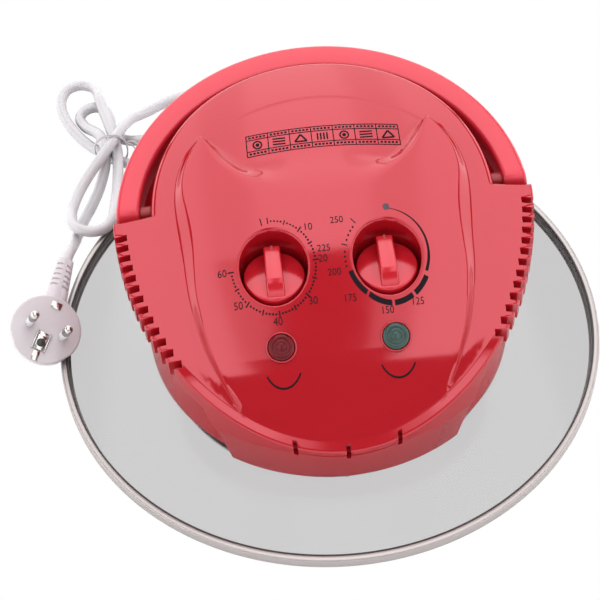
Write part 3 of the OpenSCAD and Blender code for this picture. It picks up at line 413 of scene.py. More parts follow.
def on_both_pins(profile):
    shape = lathe(profile, 32, False)
    return joined(*(moved(shape, ON_PLUG @ Matrix.Translation((0, y, 0))) for y in PIN_Y))


def curl(y):
    turns = np.linspace(-1.2, 3.4, 14)
    return tube([(-3.3 + 1.3 * cos(a), y, 0.9 + 1.3 * sin(a)) for a in turns], 0.45, 8)


plug = build("plug_shell", joined(moved(plug_disc(), ON_PLUG), plug_neck()), M["plug"],
             "plug_body", sharp=40)
TIP_R, TIP_Z = 2.4, 16.6
tip = [(0, 9.6), (TIP_R, 9.6), (TIP_R, TIP_Z)] + [
    (TIP_R * cos(a), TIP_Z + TIP_R * sin(a))
    for a in np.linspace(0.2, pi / 2 - 0.001, 8)]
pins = build("plug_pin_tips", on_both_pins(tip), M["nickel"], "plug_pins",
             sharp=40)
sleeve = [(0, -4), (2, -4), (2.35, 0), (2.35, 9.5), (2.2, 9.8), (0, 9.8)]
sleeves = build("plug_pin_sleeves", on_both_pins(sleeve), M["sleeve"], sharp=40)
clips = build("plug_earth_parts", moved(joined(
    slab(-12.2, -4.2, -2.7, 2.7, 0.1, 1.5), slab(-4.6, -2.2, -2.3, 2.3, 0.1, 1.1),
    slab(-12.6, -3.2, -3.9, -3.1, 0.05, 1.5), slab(-12.6, -3.2, 3.1, 3.9, 0.05, 1.5),
    curl(-3.5), curl(3.5)), ON_PLUG), M["nickel"], "plug_earth_clips")
bevelled(clips, 0.2, 2)
strip = build("plug_earth_strip", moved(joined(
    slab(-18.2, -12, -1.9, 1.9, -0.3, 0.25), slab(12.4, 16.2, -2.9, 2.9, -0.3, 0.5)), ON_PLUG),
    M["nickel"])
bevelled(strip, 0.15, 2)
# The earth socket's hole is a near-black disc on the clip: painted shade standing in for the hole's
# dark inside
socket = lathe([(0, 1.53), (2.3, 1.53), (2.45, 1.3), (2.45, 0.2)], 32, False)
hole = build("plug_earth_socket", moved(socket, ON_PLUG @ Matrix.Translation((-8.2, 0, 0))),
             M["dark"])

# ---- strain relief and tie
GROMMET_AT = Matrix.Translation((-16, 92, 44.98)) @ turned(-90, "X")
prof = [(0, -7), (6.4, -7), (6.4, -4.7), (4.7, -4.7), (4.7, 2), (6.5, 2), (6.7, 2.6),
        (6.5, 3.4), (6.3, 4.2)]
for i in range(7):
    z0, r0 = 7 + 3.7 * i, 6.25 - 0.26 * i
    prof += [(r0, z0 - 1.8), (r0 - 0.05, z0), (r0 - 1.3, z0 + 0.15), (r0 - 1.3, z0 + 1.35),
             (r0 - 0.14, z0 + 1.5)]
prof += [(4.5, 31.6), (4.2, 33), (3.3, 33)]
grommet = build("lead_strain_relief", moved(lathe(prof, 40, False), GROMMET_AT), M["cord"],
                "cord_grommet", sharp=30)

TIE_AT, TIE_R, TIE_WIRE = Vector((-115.2, 153.2, 12.4)), 9.75, 0.42


def tie_loop(shift, grow):
    """Turn of the tie round the hank's two layers, so a little taller than wide."""
    pts = []
    for a in around(40) + [2 * pi]:
        z = sin(a) * (TIE_R + grow)
        pts.append(TIE_AT + Vector((
            cos(a) * (TIE_R + grow), shift + 0.5 * sin(2 * a),
            z + copysign(2, z) * min(1, abs(z) / 4))))
    return tube(pts, TIE_WIRE, 8)


TIE_ENDS = ([(-106.2, 153, 16.5), (-103, 153.5, 17.6), (-99.5, 152.5, 16.2),
             (-97.5, 150, 13), (-97, 148, 11.6)],
            [(-106, 153.6, 14.5), (-103.5, 155, 13.6), (-101, 154, 10.6), (-100.3, 152.2, 10.2)])
tie = build("hank_tie", joined(tie_loop(-0.55, 0), tie_loop(0.5, 0.05),
                               *(tube(catmull(end, 6), TIE_WIRE, 8) for end in TIE_ENDS)),
            M["cord"], "cord_tie")


# ---- the cover, a height over its plan
def dome(x, y, out=0):
    return DOME_Z + np.sqrt((DOME_R + out - DOME_K * x * x) ** 2 - (y - DOME_Y) ** 2)


def dome_at(x, y, out=0):
    return float(dome(np.array([x]), np.array([y]), out)[0])


def smooth_line(points):
    return [(v.x, v.y) for v in catmull([(x, y, 0) for x, y in points], 5)]


# The raised shield's upper and lower outline, right half, from its tip forwards and inwards
TIP_TOP, TIP_FOOT = (56, 38.6), (57.2, 41)
TOP_OUTER = [TIP_TOP, (61.2, 32.6), (65.2, 25.6), (67.8, 17.5), (68.6, 9), (67.4, 1),
             (66, -8), (65.6, -18), (66, -28), (66.2, -38), (65, -49),
             (62.6, -60), (59.8, -67.5), (56.2, -75.5), (51.6, -83.5), (45.6, -90.4),
             (38.6, -94.4)]
FOOT_OUTER = [TIP_FOOT, (62.6, 35.6), (67, 28), (70.6, 18.5), (72.4, 8), (72.4, -3),
              (71.6, -13), (70.6, -23), (69.9, -33.5), (68.6, -43.5), (66.4, -53.5),
              (63.8, -62.2), (59.9, -70.4), (55.2, -78.6), (49.6, -86), (43.6, -92),
              (38.9, -95.2)]
TOP_INNER = [TIP_TOP, (53, 31.6), (48, 23.4), (38.5, 14.6), (27.5, 8.6), (14, 4.2),
             (0, 2.4)]
FOOT_INNER = [TIP_FOOT, (50.6, 34.4), (45, 27), (37.4, 19.6), (27.5, 19.2), (14, 23.4),
              (0, 24.8)]
LIP_R, LIP_IN, LIP_SLOPE, LIP_DIP = 99.4, 93, 0.55, 1.1
FRONT_TOP_R, FRONT_FOOT_R = 101.2, 101.9
FRONT_EDGE_R, REAR_EDGE_R = 1, 3
HOLLOW_Y, HOLLOW_R, HOLLOW_DEEP = -27.4, 86, 0.55


def front_arc(radius, x0):
    a0 = asin(x0 / radius)
    return [(radius * sin(a), -radius * cos(a)) for a in np.linspace(a0, 0, 14)]


def outline(inner, outer, radius):
    half = (smooth_line(inner[::-1]) + smooth_line(outer)[1:]
            + front_arc(radius, outer[-1][0])[1:])
    half[0] = (0, inner[-1][1])
    return np.array(half + [(-x, y) for x, y in half[::-1] if abs(x) > 1e-6])


TOP_LINE = outline(TOP_INNER, TOP_OUTER, FRONT_TOP_R)
FOOT_LINE = outline(FOOT_INNER, FOOT_OUTER, FRONT_FOOT_R)


def inside(poly, x, y):
    x0, y0 = poly[:, 0], poly[:, 1]
    x1, y1 = np.roll(x0, -1), np.roll(y0, -1)
    res = np.zeros(len(x), bool)
    for a, b, c, d in zip(x0, y0, x1, y1):
        res ^= ((b > y) != (d > y)) & (x < (c - a) * (y - b) / (d - b + 1e-12) + a)
    return res


def signed(poly, x, y):
    """Distance to a closed outline, positive outside."""
    best = np.full(len(x), 1e9)
    q = np.roll(poly, -1, axis=0)
    for (a, b), (c, d) in zip(poly, q):
        ux, uy = c - a, d - b
        t = np.clip(((x - a) * ux + (y - b) * uy) / (ux * ux + uy * uy + 1e-12), 0, 1)
        best = np.minimum(best, np.hypot(x - a - t * ux, y - b - t * uy))
    return np.where(inside(poly, x, y), -best, best)


def ramp(t, e):
    """Straight slope from 0 to 1 with small rounded ends."""
    return 0.5 + 0.5 * (np.sqrt(t * t + e) - np.sqrt((t - 1) ** 2 + e))


def step(t):
    t = np.clip(t, 0, 1)
    return t * t * (3 - 2 * t)


def edge_drop(d, r):
    q = np.clip(r - d, 0, r)
    return r - np.sqrt(np.maximum(r * r - q * q, 0))


def raised(x, y):
    """1 on the shield, 0 beside it, with a slope between its two outlines."""
    dt, df = signed(TOP_LINE, x, y), signed(FOOT_LINE, x, y)
    t = dt / np.maximum(dt - df, 0.3)
    round_off = 0.006 + 0.03 * step(y / 10) * step((54 - np.abs(x)) / 10)
    return 1 - ramp(t, round_off)


def height(x, y):
    x, y = np.asarray(x, float), np.asarray(y, float)
    s = raised(x, y)
    r = np.hypot(x, y)
    z = dome(x, y) + LIFT * step((y + 91) / 24) * s
    front = step((-y - 58) / 22)
    z = z + front * (LIP_SLOPE * np.maximum(r - LIP_R, 0)
                     - LIP_DIP * step((r - LIP_IN) / (LIP_R - LIP_IN)))
    rho = np.hypot(x, y - HOLLOW_Y)
    hollow = step((HOLLOW_R - rho) / 1) * step((56 - np.abs(x)) / 3) * step((y - 5) / 12)
    z = z - HOLLOW_DEEP * hollow * (1 - s)
    rear = np.hypot(x, y - CORE_Y)
    z = z - np.where(y <= SEAM_Y, edge_drop(CAPE_R - r, FRONT_EDGE_R),
                     edge_drop(REAR_R - rear, REAR_EDGE_R))
    for s_x in (-1, 1):
        d = np.hypot(x - s_x * KNOB_X, y - KNOB_Y) - WELL_R
        z = z - edge_drop(d, 1.1)
    return z


def normal_at(x, y):
    """Normals from the height's slope, measured over a shorter way where the form turns fast."""
    fine = ((np.hypot(x, y) > np.where(y < -50, LIP_R - 1, CAPE_R - 2.2))
            | (np.hypot(x, y - CORE_Y) > REAR_R - 4.2))
    for s_x in (-1, 1):
        fine |= np.hypot(x - s_x * KNOB_X, y - KNOB_Y) < WELL_R + 2
    e = np.where(fine, 0.12, 0.55)
    gx = (height(x + e, y) - height(x - e, y)) / (2 * e)
    gy = (height(x, y + e) - height(x, y - e)) / (2 * e)
    n = np.stack([-gx, -gy, np.ones_like(gx)], 1)
    return n / np.linalg.norm(n, axis=1)[:, None]


vent_rows = [SEAM_Y - 8.3 - VENT_PITCH * i for i in range(VENTS)]


def on(t):
    """The coordinate that goes with t on the left or front edge."""
    return -sqrt(CAPE_R ** 2 - t * t)


def plan_outline():
    """The cover's edge seen from above, anticlockwise from the right seam."""
    a0 = atan2(SEAM_Y - CORE_Y, sqrt(REAR_R ** 2 - (SEAM_Y - CORE_Y) ** 2))
    rear = [(REAR_R * cos(a), CORE_Y + REAR_R * sin(a))
            for a in np.linspace(a0, pi - a0, 150)]
    left = [(on(SEAM_Y), SEAM_Y)]
    y = SEAM_Y
    for row in vent_rows:
        hi, lo = row + VENT_W / 2, row - VENT_W / 2
        left += [(on((y + hi) / 2), (y + hi) / 2), (on(hi), hi), (on(hi) + VENT_IN, hi),
                 (on(hi) + VENT_IN, lo), (on(lo), lo)]
        y = lo
    for a in np.linspace(asin(y / -CAPE_R), pi / 2, 60)[1:]:
        px, py = -CAPE_R * cos(a), -CAPE_R * sin(a)
        notched = py < -90 and any(abs(px - n) < NOTCH_HALF for n in NOTCHES)
        if px < -1e-9 and not notched:
            left.append((px, py))
    for n in NOTCHES[:2]:
        near, far = n - NOTCH_HALF, n + NOTCH_HALF
        corners = [(near, on(near)), (near, on(near) + NOTCH_DEEP)]
        if far < 0:
            corners += [(far, on(far) + NOTCH_DEEP), (far, on(far))]
        at = next((i for i, p in enumerate(left) if p[1] < -90 and p[0] > n), len(left))
        left[at:at] = corners
    return rear + left + [(-px, py) for px, py in left[::-1]]


EDGE = plan_outline()
edge_np = np.array(EDGE)
holes = [circle_points(s * KNOB_X, KNOB_Y, WELL_R, 96) for s in (-1, 1)] + [
    circle_points(s * LAMP_X, LAMP_Y, LENS_R + 0.4, 48, LENS_R * cos(radians(LAMP_TILT)) + 0.3)
    for s in (-1, 1)]
loops = [EDGE] + holes

# Points that the mesh follows: rows along the shield's slope, then rings at every rounded edge
SLOPE_ROWS = (-0.5, -0.2, -0.08, 0, 0.08, 0.2, 0.5, 0.8, 0.92, 1, 1.08, 1.2, 1.5)
extra = [p for t in SLOPE_ROWS for p in TOP_LINE * (1 - t) + FOOT_LINE * t]
chains = [(len(TOP_LINE) * k, len(TOP_LINE)) for k in range(len(SLOPE_ROWS))]
on_row = len(extra)
for r in (LIP_R - 0.45, LIP_R, LIP_R + 0.45):
    chains.append((len(extra), 140))
    extra += [(r * sin(a), -r * cos(a)) for a in np.linspace(-0.95, 0.95, 140)]
for s in (-1, 1):
    for grow in (0.12, 0.35, 0.7, 1.1, 2.2):
        extra += circle_points(s * KNOB_X, KNOB_Y, WELL_R + grow, 96)


def ring_points(radii, cy, turns):
    return [(r * cos(a), cy + r * sin(a)) for r in radii for a in turns]


extra += ring_points([CAPE_R - q for q in (0.1, 0.3, 0.6, 1, 1.9, 2.5, 3.6)], 0,
                     np.linspace(0, pi * 2, 420, endpoint=False))
extra += ring_points([REAR_R - q for q in (0.12, 0.45, 1, 1.7, 2.4, 3, 4)], CORE_Y,
                     np.linspace(0, pi, 260))
extra += ring_points((84.6, 85, 85.5, 86, 86.4), HOLLOW_Y,
                     np.linspace(0.75, pi - 0.75, 200))

# An even spread of points over the rest, clear of the ones above
SPREAD, ROW_PITCH, CELL = 2.6, 0.866, 2
cells = {}
for px, py in extra:
    cells.setdefault((int(px // CELL), int(py // CELL)), []).append((px, py))
for j in range(int(220 / (SPREAD * ROW_PITCH))):
    for i in range(int(220 / SPREAD)):
        gx = -110 + SPREAD * (i + 0.5 * (j % 2)) + 0.13
        gy = -108 + SPREAD * ROW_PITCH * j
        cx, cy = int(gx // CELL), int(gy // CELL)
        close = [q for a in (-1, 0, 1) for b in (-1, 0, 1) for q in cells.get((cx + a, cy + b), [])]
        if all((gx - q[0]) ** 2 + (gy - q[1]) ** 2 > 1.3 for q in close):
            extra.append((gx, gy))
extra = np.array(extra)
ex, ey = extra[:, 0], extra[:, 1]
keep = inside(edge_np, ex, ey) & (np.abs(signed(edge_np, ex, ey)) > 0.08)
for h in holes:
    keep &= signed(np.array(h), ex, ey) > 0.06
keep &= ~((np.arange(len(extra)) < on_row) & (np.hypot(ex, ey) > LIP_R - 1.5))

# Triangles between all points, with the outlines and the slope's rows as fixed edges
points = [Vector(p) for loop in loops for p in loop]
edges = []
start = 0
for loop in loops:
    n = len(loop)
    edges += [(start + k, start + (k + 1) % n) for k in range(n)]
    start += n
new_place = np.cumsum(keep) - 1 + start
edges += [(int(new_place[at + i]), int(new_place[at + i + 1])) for at, count in chains
          for i in range(count - 1) if keep[at + i] and keep[at + i + 1]]
points += [Vector((float(p[0]), float(p[1]))) for p in extra[keep]]
flat = delaunay_2d_cdt(points, edges, [], 0, 1e-5)
fv = np.array([(v.x, v.y) for v in flat[0]])
ft = np.array([f for f in flat[2]])
mid = fv[ft].mean(1)
ok = inside(edge_np, mid[:, 0], mid[:, 1])
for h in holes:
    ok &= ~inside(np.array(h), mid[:, 0], mid[:, 1])
ft = ft[ok]
side_1, side_2 = fv[ft[:, 1]] - fv[ft[:, 0]], fv[ft[:, 2]] - fv[ft[:, 0]]
area = side_1[:, 0] * side_2[:, 1] - side_2[:, 0] * side_1[:, 1]
ft = np.where(area[:, None] > 0, ft, ft[:, ::-1])
top_n = normal_at(fv[:, 0], fv[:, 1])
verts = [(a, b, c) for (a, b), c in zip(fv, height(fv[:, 0], fv[:, 1]))]
faces = [tuple(f) for f in ft]
corner_normals = [top_n[i] for f in ft for i in f]


CHIN_SIDE = ((59, CHIN_Z), (61, 40), (63, 50), (68, 60))


def low_edge(x, y, z_top):
    """How far down the wall reaches below a point of the cover's edge."""
    band_foot = z_top - BAND_H
    if y > SEAM_Y - 0.01:
        return PART_Z if hypot(x, y - CORE_Y) < REAR_R + 0.5 else band_foot
    if abs(x) > CHIN_SIDE[-1][0]:
        return band_foot
    return min(float(np.interp(abs(x), *zip(*CHIN_SIDE))), band_foot)


def chin_r(z):
    return CAPE_R - CHIN_IN * max(CHIN_TOP - z, 0) / (CHIN_TOP - CHIN_Z)


def wall_point(x, y, z, z_top):
    """Point of the edge's wall at height z: the rear wall leans in, the chin draws in below."""
    if y > SEAM_Y + 0.01:
        d = hypot(x, y - CORE_Y)
        if abs(d - REAR_R) >= 0.6:
            return (x, y, z)
        r = CORE_R0 + (CORE_R1 - CORE_R0) * (z - PART_Z) / (CORE_TOP - PART_Z)
        if z > z_top - 0.01:
            r = REAR_R
        return (x * r / d, CORE_Y + (y - CORE_Y) * r / d, z)
    k = 1 + (chin_r(z) - CAPE_R) / hypot(x, y)
    return (x * k, y * k, z)


def unit(x, y, z=0):
    return Vector((x, y, z)).normalized()


def wall_normal(p, rear):
    v = unit(p[0], p[1] - (CORE_Y if rear else 0))
    return v if rear or p[2] >= CHIN_TOP else unit(v.x, v.y, -0.13)


def add_face(*pts, normals=None):
    """Face of the cover; without normals of its own it shades flat."""
    faces.append(tuple(range(len(verts), len(verts) + len(pts))))
    verts.extend(pts)
    if normals is None:
        n = (Vector(pts[1]) - Vector(pts[0])).cross(Vector(pts[-1]) - Vector(pts[0]))
        normals = [n.normalized() if n.length > 0 else Vector((0, 0, 1))] * len(pts)
    corner_normals.extend(normals)


edge_z = height(edge_np[:, 0], edge_np[:, 1])
for k in range(len(EDGE)):
    k2 = (k + 1) % len(EDGE)
    (x0, y0), (x1, y1) = ends = EDGE[k], EDGE[k2]
    z0t, z1t = float(edge_z[k]), float(edge_z[k2])
    b0, b1 = low_edge(x0, y0, z0t), low_edge(x1, y1, z1t)
    on_arc = max(y0, y1) <= SEAM_Y + 0.01 and all(
        abs(hypot(x, y) - CAPE_R) < 0.05 for x, y in ends)
    on_rear = min(y0, y1) > SEAM_Y - 0.01 and all(
        abs(hypot(x, y - CORE_Y) - REAR_R) < 0.05 for x, y in ends)
    if not on_rear and min(y0, y1) > SEAM_Y - 0.02:
        b0 = b1 = min(z0t, z1t) - BAND_H
    if y0 < -90 and y1 < -90 and any(abs(x0 - n) < 1.2 and abs(x1 - n) < 1.2 for n in NOTCHES):
        b0 = b1 = min(z0t, z1t) - NOTCH_DOWN
    steps = 16 if (b0 < z0t - 12 or b1 < z1t - 12) else 4
    columns = []
    for x, y, zt, bb in ((x0, y0, z0t, b0), (x1, y1, z1t, b1)):
        column = [(x, y, zt + (bb - zt) * (j / steps)) for j in range(steps + 1)]
        if on_arc or on_rear:
            column = [wall_point(*p, zt) for p in column]
        columns.append(column)
    for (pa, pb), (pd, pc) in zip(*(zip(c, c[1:]) for c in columns)):
        q = (pa, pb, pc, pd)
        lean = [wall_normal(p, on_rear) for p in q] if on_arc or on_rear else None
        add_face(*q, normals=lean)

# The chin goes on below the notches, which open the lip only at its top
for n in NOTCHES:
    ends = []
    for x in (n - NOTCH_HALF, n + NOTCH_HALF):
        ends.append((x, on(x), float(height([x], [on(x)])[0]) - NOTCH_DOWN))
    (xl, yl, zl), (xr, yr, zr) = ends
    for j in range(10):
        q = [wall_point(x, y, zt + (CHIN_Z - zt) * u / 10, 999) for (x, y, zt), u in (
            (ends[0], j), (ends[0], j + 1), (ends[1], j + 1), (ends[1], j))]
        add_face(*q, normals=[unit(p[0], p[1], -13) for p in q])
    add_face((xl, yl, zl), (xr, yr, zr), (xr, yr + NOTCH_DEEP, zr), (xl, yl + NOTCH_DEEP, zl))

# Underside of the plate, then the inner face of the edge band and the chin
under = [(x, y, z) for (x, y), z in zip(fv, dome(fv[:, 0], fv[:, 1]) - WALL - 0.2)]
for f in ft:
    if all(under[i][1] <= SEAM_Y + 0.02 for i in f):
        add_face(*(under[i] for i in f[::-1]))
ARC_N = 360
BAND_IN = CAPE_R - WALL
inner = []
for k in range(ARC_N + 1):
    a = pi * (1 + k / ARC_N)
    x, y = cos(a), sin(a)
    low = low_edge(CAPE_R * x, CAPE_R * y - 0.02, dome_at(CAPE_R * x, CAPE_R * y))
    slot_here = any(abs(CAPE_R * y - row) < VENT_W / 2 for row in vent_rows)
    inner.append((x, y, dome_at(BAND_IN * x, BAND_IN * y) - WALL, low, slot_here))
for (xa, ya, za, ba, sa), (xb, yb, zb, bb, sb) in zip(inner, inner[1:]):
    if sa or sb:
        continue
    ra, rb = chin_r(ba), chin_r(bb)
    foot_a = ((ra - WALL) * xa, (ra - WALL) * ya, ba)
    foot_b = ((rb - WALL) * xb, (rb - WALL) * yb, bb)
    add_face((BAND_IN * xa, BAND_IN * ya, za), (BAND_IN * xb, BAND_IN * yb, zb), foot_b, foot_a)
    add_face(foot_a, foot_b, (rb * xb, rb * yb, bb), (ra * xa, ra * ya, ba))

# Wells: wall and floor
for s in (-1, 1):
    cx = s * KNOB_X
    ring = circle_points(cx, KNOB_Y, WELL_R, 96)
    tops = [(x, y, float(z)) for (x, y), z in zip(ring, height(*np.array(ring).T))]
    for p, q in zip(tops, tops[1:] + tops[:1]):
        na, nb = (unit(cx - x, KNOB_Y - y) for x, y, _ in (p, q))
        foot_p, foot_q = (*p[:2], WELL_FLOOR), (*q[:2], WELL_FLOOR)
        add_face(p, q, foot_q, foot_p, normals=[na, nb, nb, na])
        add_face(foot_p, foot_q, (cx, KNOB_Y, WELL_FLOOR))

# Ledge below the handle, which closes the gap between the handle and the cover
LEDGE_TOP = PIVOT_Z - HANDLE_T / 2 - 2.2
LEDGE_OUT, LEDGE_IN, LEDGE_LOW = HANDLE_R - 3.5, 85.4, LEDGE_TOP - 2
steps = 160


def ledge_section(u):
    o0, i0 = asin(SEAM_Y / LEDGE_OUT), asin((SEAM_Y - CORE_Y) / LEDGE_IN)
    ao, ai = o0 + (pi - 2 * o0) * u, i0 + (pi - 2 * i0) * u
    o = (LEDGE_OUT * cos(ao), LEDGE_OUT * sin(ao))
    i = (LEDGE_IN * cos(ai), CORE_Y + LEDGE_IN * sin(ai))
    return [(*o, LEDGE_LOW), (*o, LEDGE_TOP), (*i, LEDGE_TOP), (*i, LEDGE_LOW)]


for k in range(steps):
    p, q = ledge_section(k / steps), ledge_section((k + 1) / steps)
    for a, b in ((1, 2), (3, 0), (0, 1)):
        add_face(p[a], q[a], q[b], p[b])
add_face(*ledge_section(0))
add_face(*ledge_section(1)[::-1])


def welded():
    """Shared points for faces that meet; a face with fewer than three points left goes."""
    place, index = {}, []
    for v in verts:
        key = tuple(round(float(c), 3) for c in v)
        index.append(place.setdefault(key, (len(place), v))[0])
    faces_out, normals_out, at, known = [], [], 0, set()
    for f in faces:
        corners = {}
        for c, n in zip(f, corner_normals[at:at + len(f)]):
            corners.setdefault(index[c], n)
        at += len(f)
        if len(corners) > 2 and frozenset(corners) not in known:
            known.add(frozenset(corners))
            faces_out.append(tuple(corners))
            normals_out += corners.values()
    return ([v for _, v in place.values()], faces_out), normals_out


shape, shape_normals = welded()
build("head_cover", shape, M["red"], "upper_housing", normals=shape_normals)


# ---- lens collars and lenses
def lamp_matrix(s):
    at = Matrix.Translation((s * LAMP_X, LAMP_Y, dome_at(LAMP_X, LAMP_Y, LIFT)))
    return at @ turned(LAMP_TILT, "X")


COLLAR = [(LENS_R + out, z) for out, z in (
    (0.05, -4), (0.05, 0.15), (0.2, 0.4), (0.45, 0.45), (0.75, 0.3), (0.95, -0.05), (1, -0.6),
    (1, -1.4))]
LENS = [(0, 1.9), (1.2, 1.86), (1.9, 1.7), (2.05, 1.35), (2.5, 1.3), (2.7, 1.62), (3.6, 1.5),
        (3.75, 1.1), (4.2, 1.02), (4.4, 1.3), (5.4, 1), (6.1, 0.55), (6.5, -0.1), (6.5, -6)]
build("lamp_collars", joined(*(moved(lathe(COLLAR, 64, False), lamp_matrix(s)) for s in (-1, 1))),
      M["red"])
for s, name, node, mat, slot_name in (
        (-1, "power_indicator", "power_lens", "lens_red", "lens_red"),
        (1, "heat_indicator", "heat_lens", "lens_green", "lens_dark")):
    build(name, moved(lathe(LENS, 64, False), lamp_matrix(s)), M[mat], node)


# ---- drum
def drum_r(z):
    return DRUM_R + (DRUM_TOP_R - DRUM_R) * (z - DRUM_Z) / (PART_Z - DRUM_Z)


def drum_shape():
    """Wall from the foot up, over its top edge and down inside; its front ends below the cover."""
    n, rows = 360, 22
    verts = []
    for a in around(n):
        ca, sa = cos(a), sin(a)
        top = PART_Z
        if sa * 92 + DRUM_Y < SEAM_Y - WALL:
            top = dome_at(DRUM_TOP_R * ca, DRUM_TOP_R * sa + DRUM_Y, -8)
        for j in range(rows + 1):
            z = DRUM_Z + (top - DRUM_Z) * j / rows
            r = drum_r(min(z, PART_Z)) - (0 if j else 0.6)
            verts.append((r * ca, r * sa + DRUM_Y, z))
        verts += [((r - WALL) * ca, (r - WALL) * sa + DRUM_Y, z) for z in (top, 36)]
    return verts, grid(n, rows + 3, ring_rows=True)


build("head_drum", drum_shape(), M["red"], "lower_housing", sharp=40)
drum_floor = lathe([(7, 33), (88, 33), (88, 36), (7, 36)], 96)
build("head_drum_floor", moved(drum_floor, Matrix.Translation((0, DRUM_Y, 0))), M["red"],
      sharp=40)


# ---- handle
def handle_shape():
    """Bail with a rounded square section, thinned to round ends about the pivots."""
    n = 150
    half_t = HANDLE_T / 2
    edge, end_y = 2.2, 3
    sect = []
    for cx, cz, a0 in ((-1, 1, 90), (-1, -1, 180), (1, -1, 270), (1, 1, 0)):
        for q in range(5):
            a = radians(a0 + 90 * q / 4)
            sect.append((cx, cz, cos(a), sin(a)))
    ao0 = asin(end_y / HANDLE_R)
    ai0 = asin((end_y - CORE_Y) / HANDLE_IN)
    verts = []
    for k in range(n + 1):
        u = k / n
        ao = ao0 + (pi - 2 * ao0) * u
        ai = ai0 + (pi - 2 * ai0) * u
        out_x, out_y = HANDLE_R * cos(ao), HANDLE_R * sin(ao)
        in_x, in_y = HANDLE_IN * cos(ai), CORE_Y + HANDLE_IN * sin(ai)
        w = hypot(out_x - in_x, out_y - in_y)
        dx, dy = (out_x - in_x) / w, (out_y - in_y) / w
        for cx, cz, ca, sa in sect:
            bx, by = (in_x, in_y) if cx < 0 else (out_x, out_y)
            off = -cx * edge + ca * edge
            x, yy = bx + dx * off, by + dy * off - PIVOT_Y
            h = half_t if yy >= 0 else sqrt(max(half_t ** 2 - yy * yy, 0.05))
            e = min(edge, h * 0.6)
            v = cz * (h - e) + sa * e
            tilt = HANDLE_TILT if yy >= 0 else 0
            verts.append((x, PIVOT_Y + yy * cos(tilt) - v * sin(tilt),
                          PIVOT_Z + yy * sin(tilt) + v * cos(tilt)))
    m = len(sect)
    ends = [tuple(range(m)), tuple(n * m + j for j in range(m - 1, -1, -1))]
    return verts, grid(n + 1, m, ring_cols=True) + ends


handle = build("handle_bail", handle_shape(), M["red_satin"], "handle", "handle")
with edited(handle) as bm:
    bmesh.ops.recalc_face_normals(bm, faces=bm.faces)


# ---- knobs
def knob(name, x, node, body):
    disc = lathe([(0, KNOB_TOP - 2.4), (13.2, KNOB_TOP - 2.4), (13.2, WELL_FLOOR + 2.4),
                  (KNOB_R, WELL_FLOOR + 2.4), (KNOB_R, KNOB_TOP - 0.9), (14.75, KNOB_TOP - 0.3),
                  (14.2, KNOB_TOP), (0, KNOB_TOP)], 96, False)
    build(name, moved(disc, Matrix.Translation((x, KNOB_Y, 0))), M["red_knob"],
          node, body, sharp=50)
    prof = [(12, -0.5), (12.3, 8), (-8, 8), (-10.6, 5.6), (-13.7, -0.5)]
    grip = [(x + side * 4.5 * (1 - 0.10 * z / 8), KNOB_Y + y, KNOB_TOP + z)
            for side in (-1, 1) for y, z in prof]
    m = len(prof)
    sides = [(j, j + m, (j + 1) % m + m, (j + 1) % m) for j in range(m)]
    ends = [tuple(range(m)), tuple(range(2 * m - 1, m - 1, -1))]
    bar = build(name + "_grip", (grip, ends + sides), M["red_knob"], body=body)
    bevelled(bar, 0.9, 4)
    mark = slab(x - 0.55, x + 0.55, KNOB_Y + 9.6, KNOB_Y + 12.35, KNOB_TOP + 3, KNOB_TOP + 8.06)
    build(name + "_pointer", mark, M["dark_red"], body=body, smooth=False)


knob("time_knob_disc", -KNOB_X, "time_knob", "time_dial")
knob("temp_knob_disc", KNOB_X, "temp_knob", "temp_dial")


# ---- glass, rim and seal
def ball_z(r, out=0):
    """Height of the glass's upper face at radius r, or of the face out from it."""
    return GLASS_TOP - GLASS_BALL + sqrt((GLASS_BALL + out) ** 2 - r * r)


radii = [float(r) for r in np.linspace(38, 142.2, 60)]
prof = [(r, ball_z(r)) for r in radii]
prof += [(142.8, ball_z(142.8) - 0.8), (143, ball_z(143) - 2), (142.8, ball_z(142.8) - 3.2)]
prof += [(r, ball_z(r, -GLASS_T)) for r in radii[::-1]]
build("lid_glass_disc", lathe(prof, 240), M["glass"], "glass_lid", sharp=50)

top, low = RIM_Z + RIM_H, RIM_Z
prof = [(140, low), (144.2, low), (144.75, low + 0.25), (RIM_R, low + 0.8), (RIM_R, top - 0.9),
        (144.75, top - 0.25), (144.2, top), (142.3, top), (142, top - 0.2), (142, top - 0.8),
        (144, top - 0.8), (144.2, top - 1), (144.2, low + 1), (144, low + 0.8),
        (140, low + 0.8)]
build("rim_band", lathe(prof, 300), M["rim"], "lid_rim", sharp=45)
SEAL_IN, SLOT_R = 141.2, 143.05
prof = [(SEAL_IN, low + 0.85), (144.1, low + 0.85), (144.1, top - 0.85), (141.9, top - 0.85),
        (141.9, top - 0.15), (141.75, top), (141.35, top), (SEAL_IN, top - 0.15),
        (SEAL_IN, ball_z(SEAL_IN) + 0.04), (SLOT_R, ball_z(SLOT_R) + 0.04),
        (SLOT_R, ball_z(SLOT_R) - 4.05), (SEAL_IN, ball_z(SEAL_IN, -GLASS_T) - 0.05)]
seal = build("rim_seal_ring", lathe(prof, 240), (M["seal"], M["slot"]),
             "rim_gasket", sharp=45)
# Faces under the glass's top take the pale grey-green: painted light on the black seal where it is
# seen through the glass
for p in seal.data.polygons:
    if p.center.z < (ball_z(SEAL_IN) + 0.3) * MM:
        p.material_index = 1

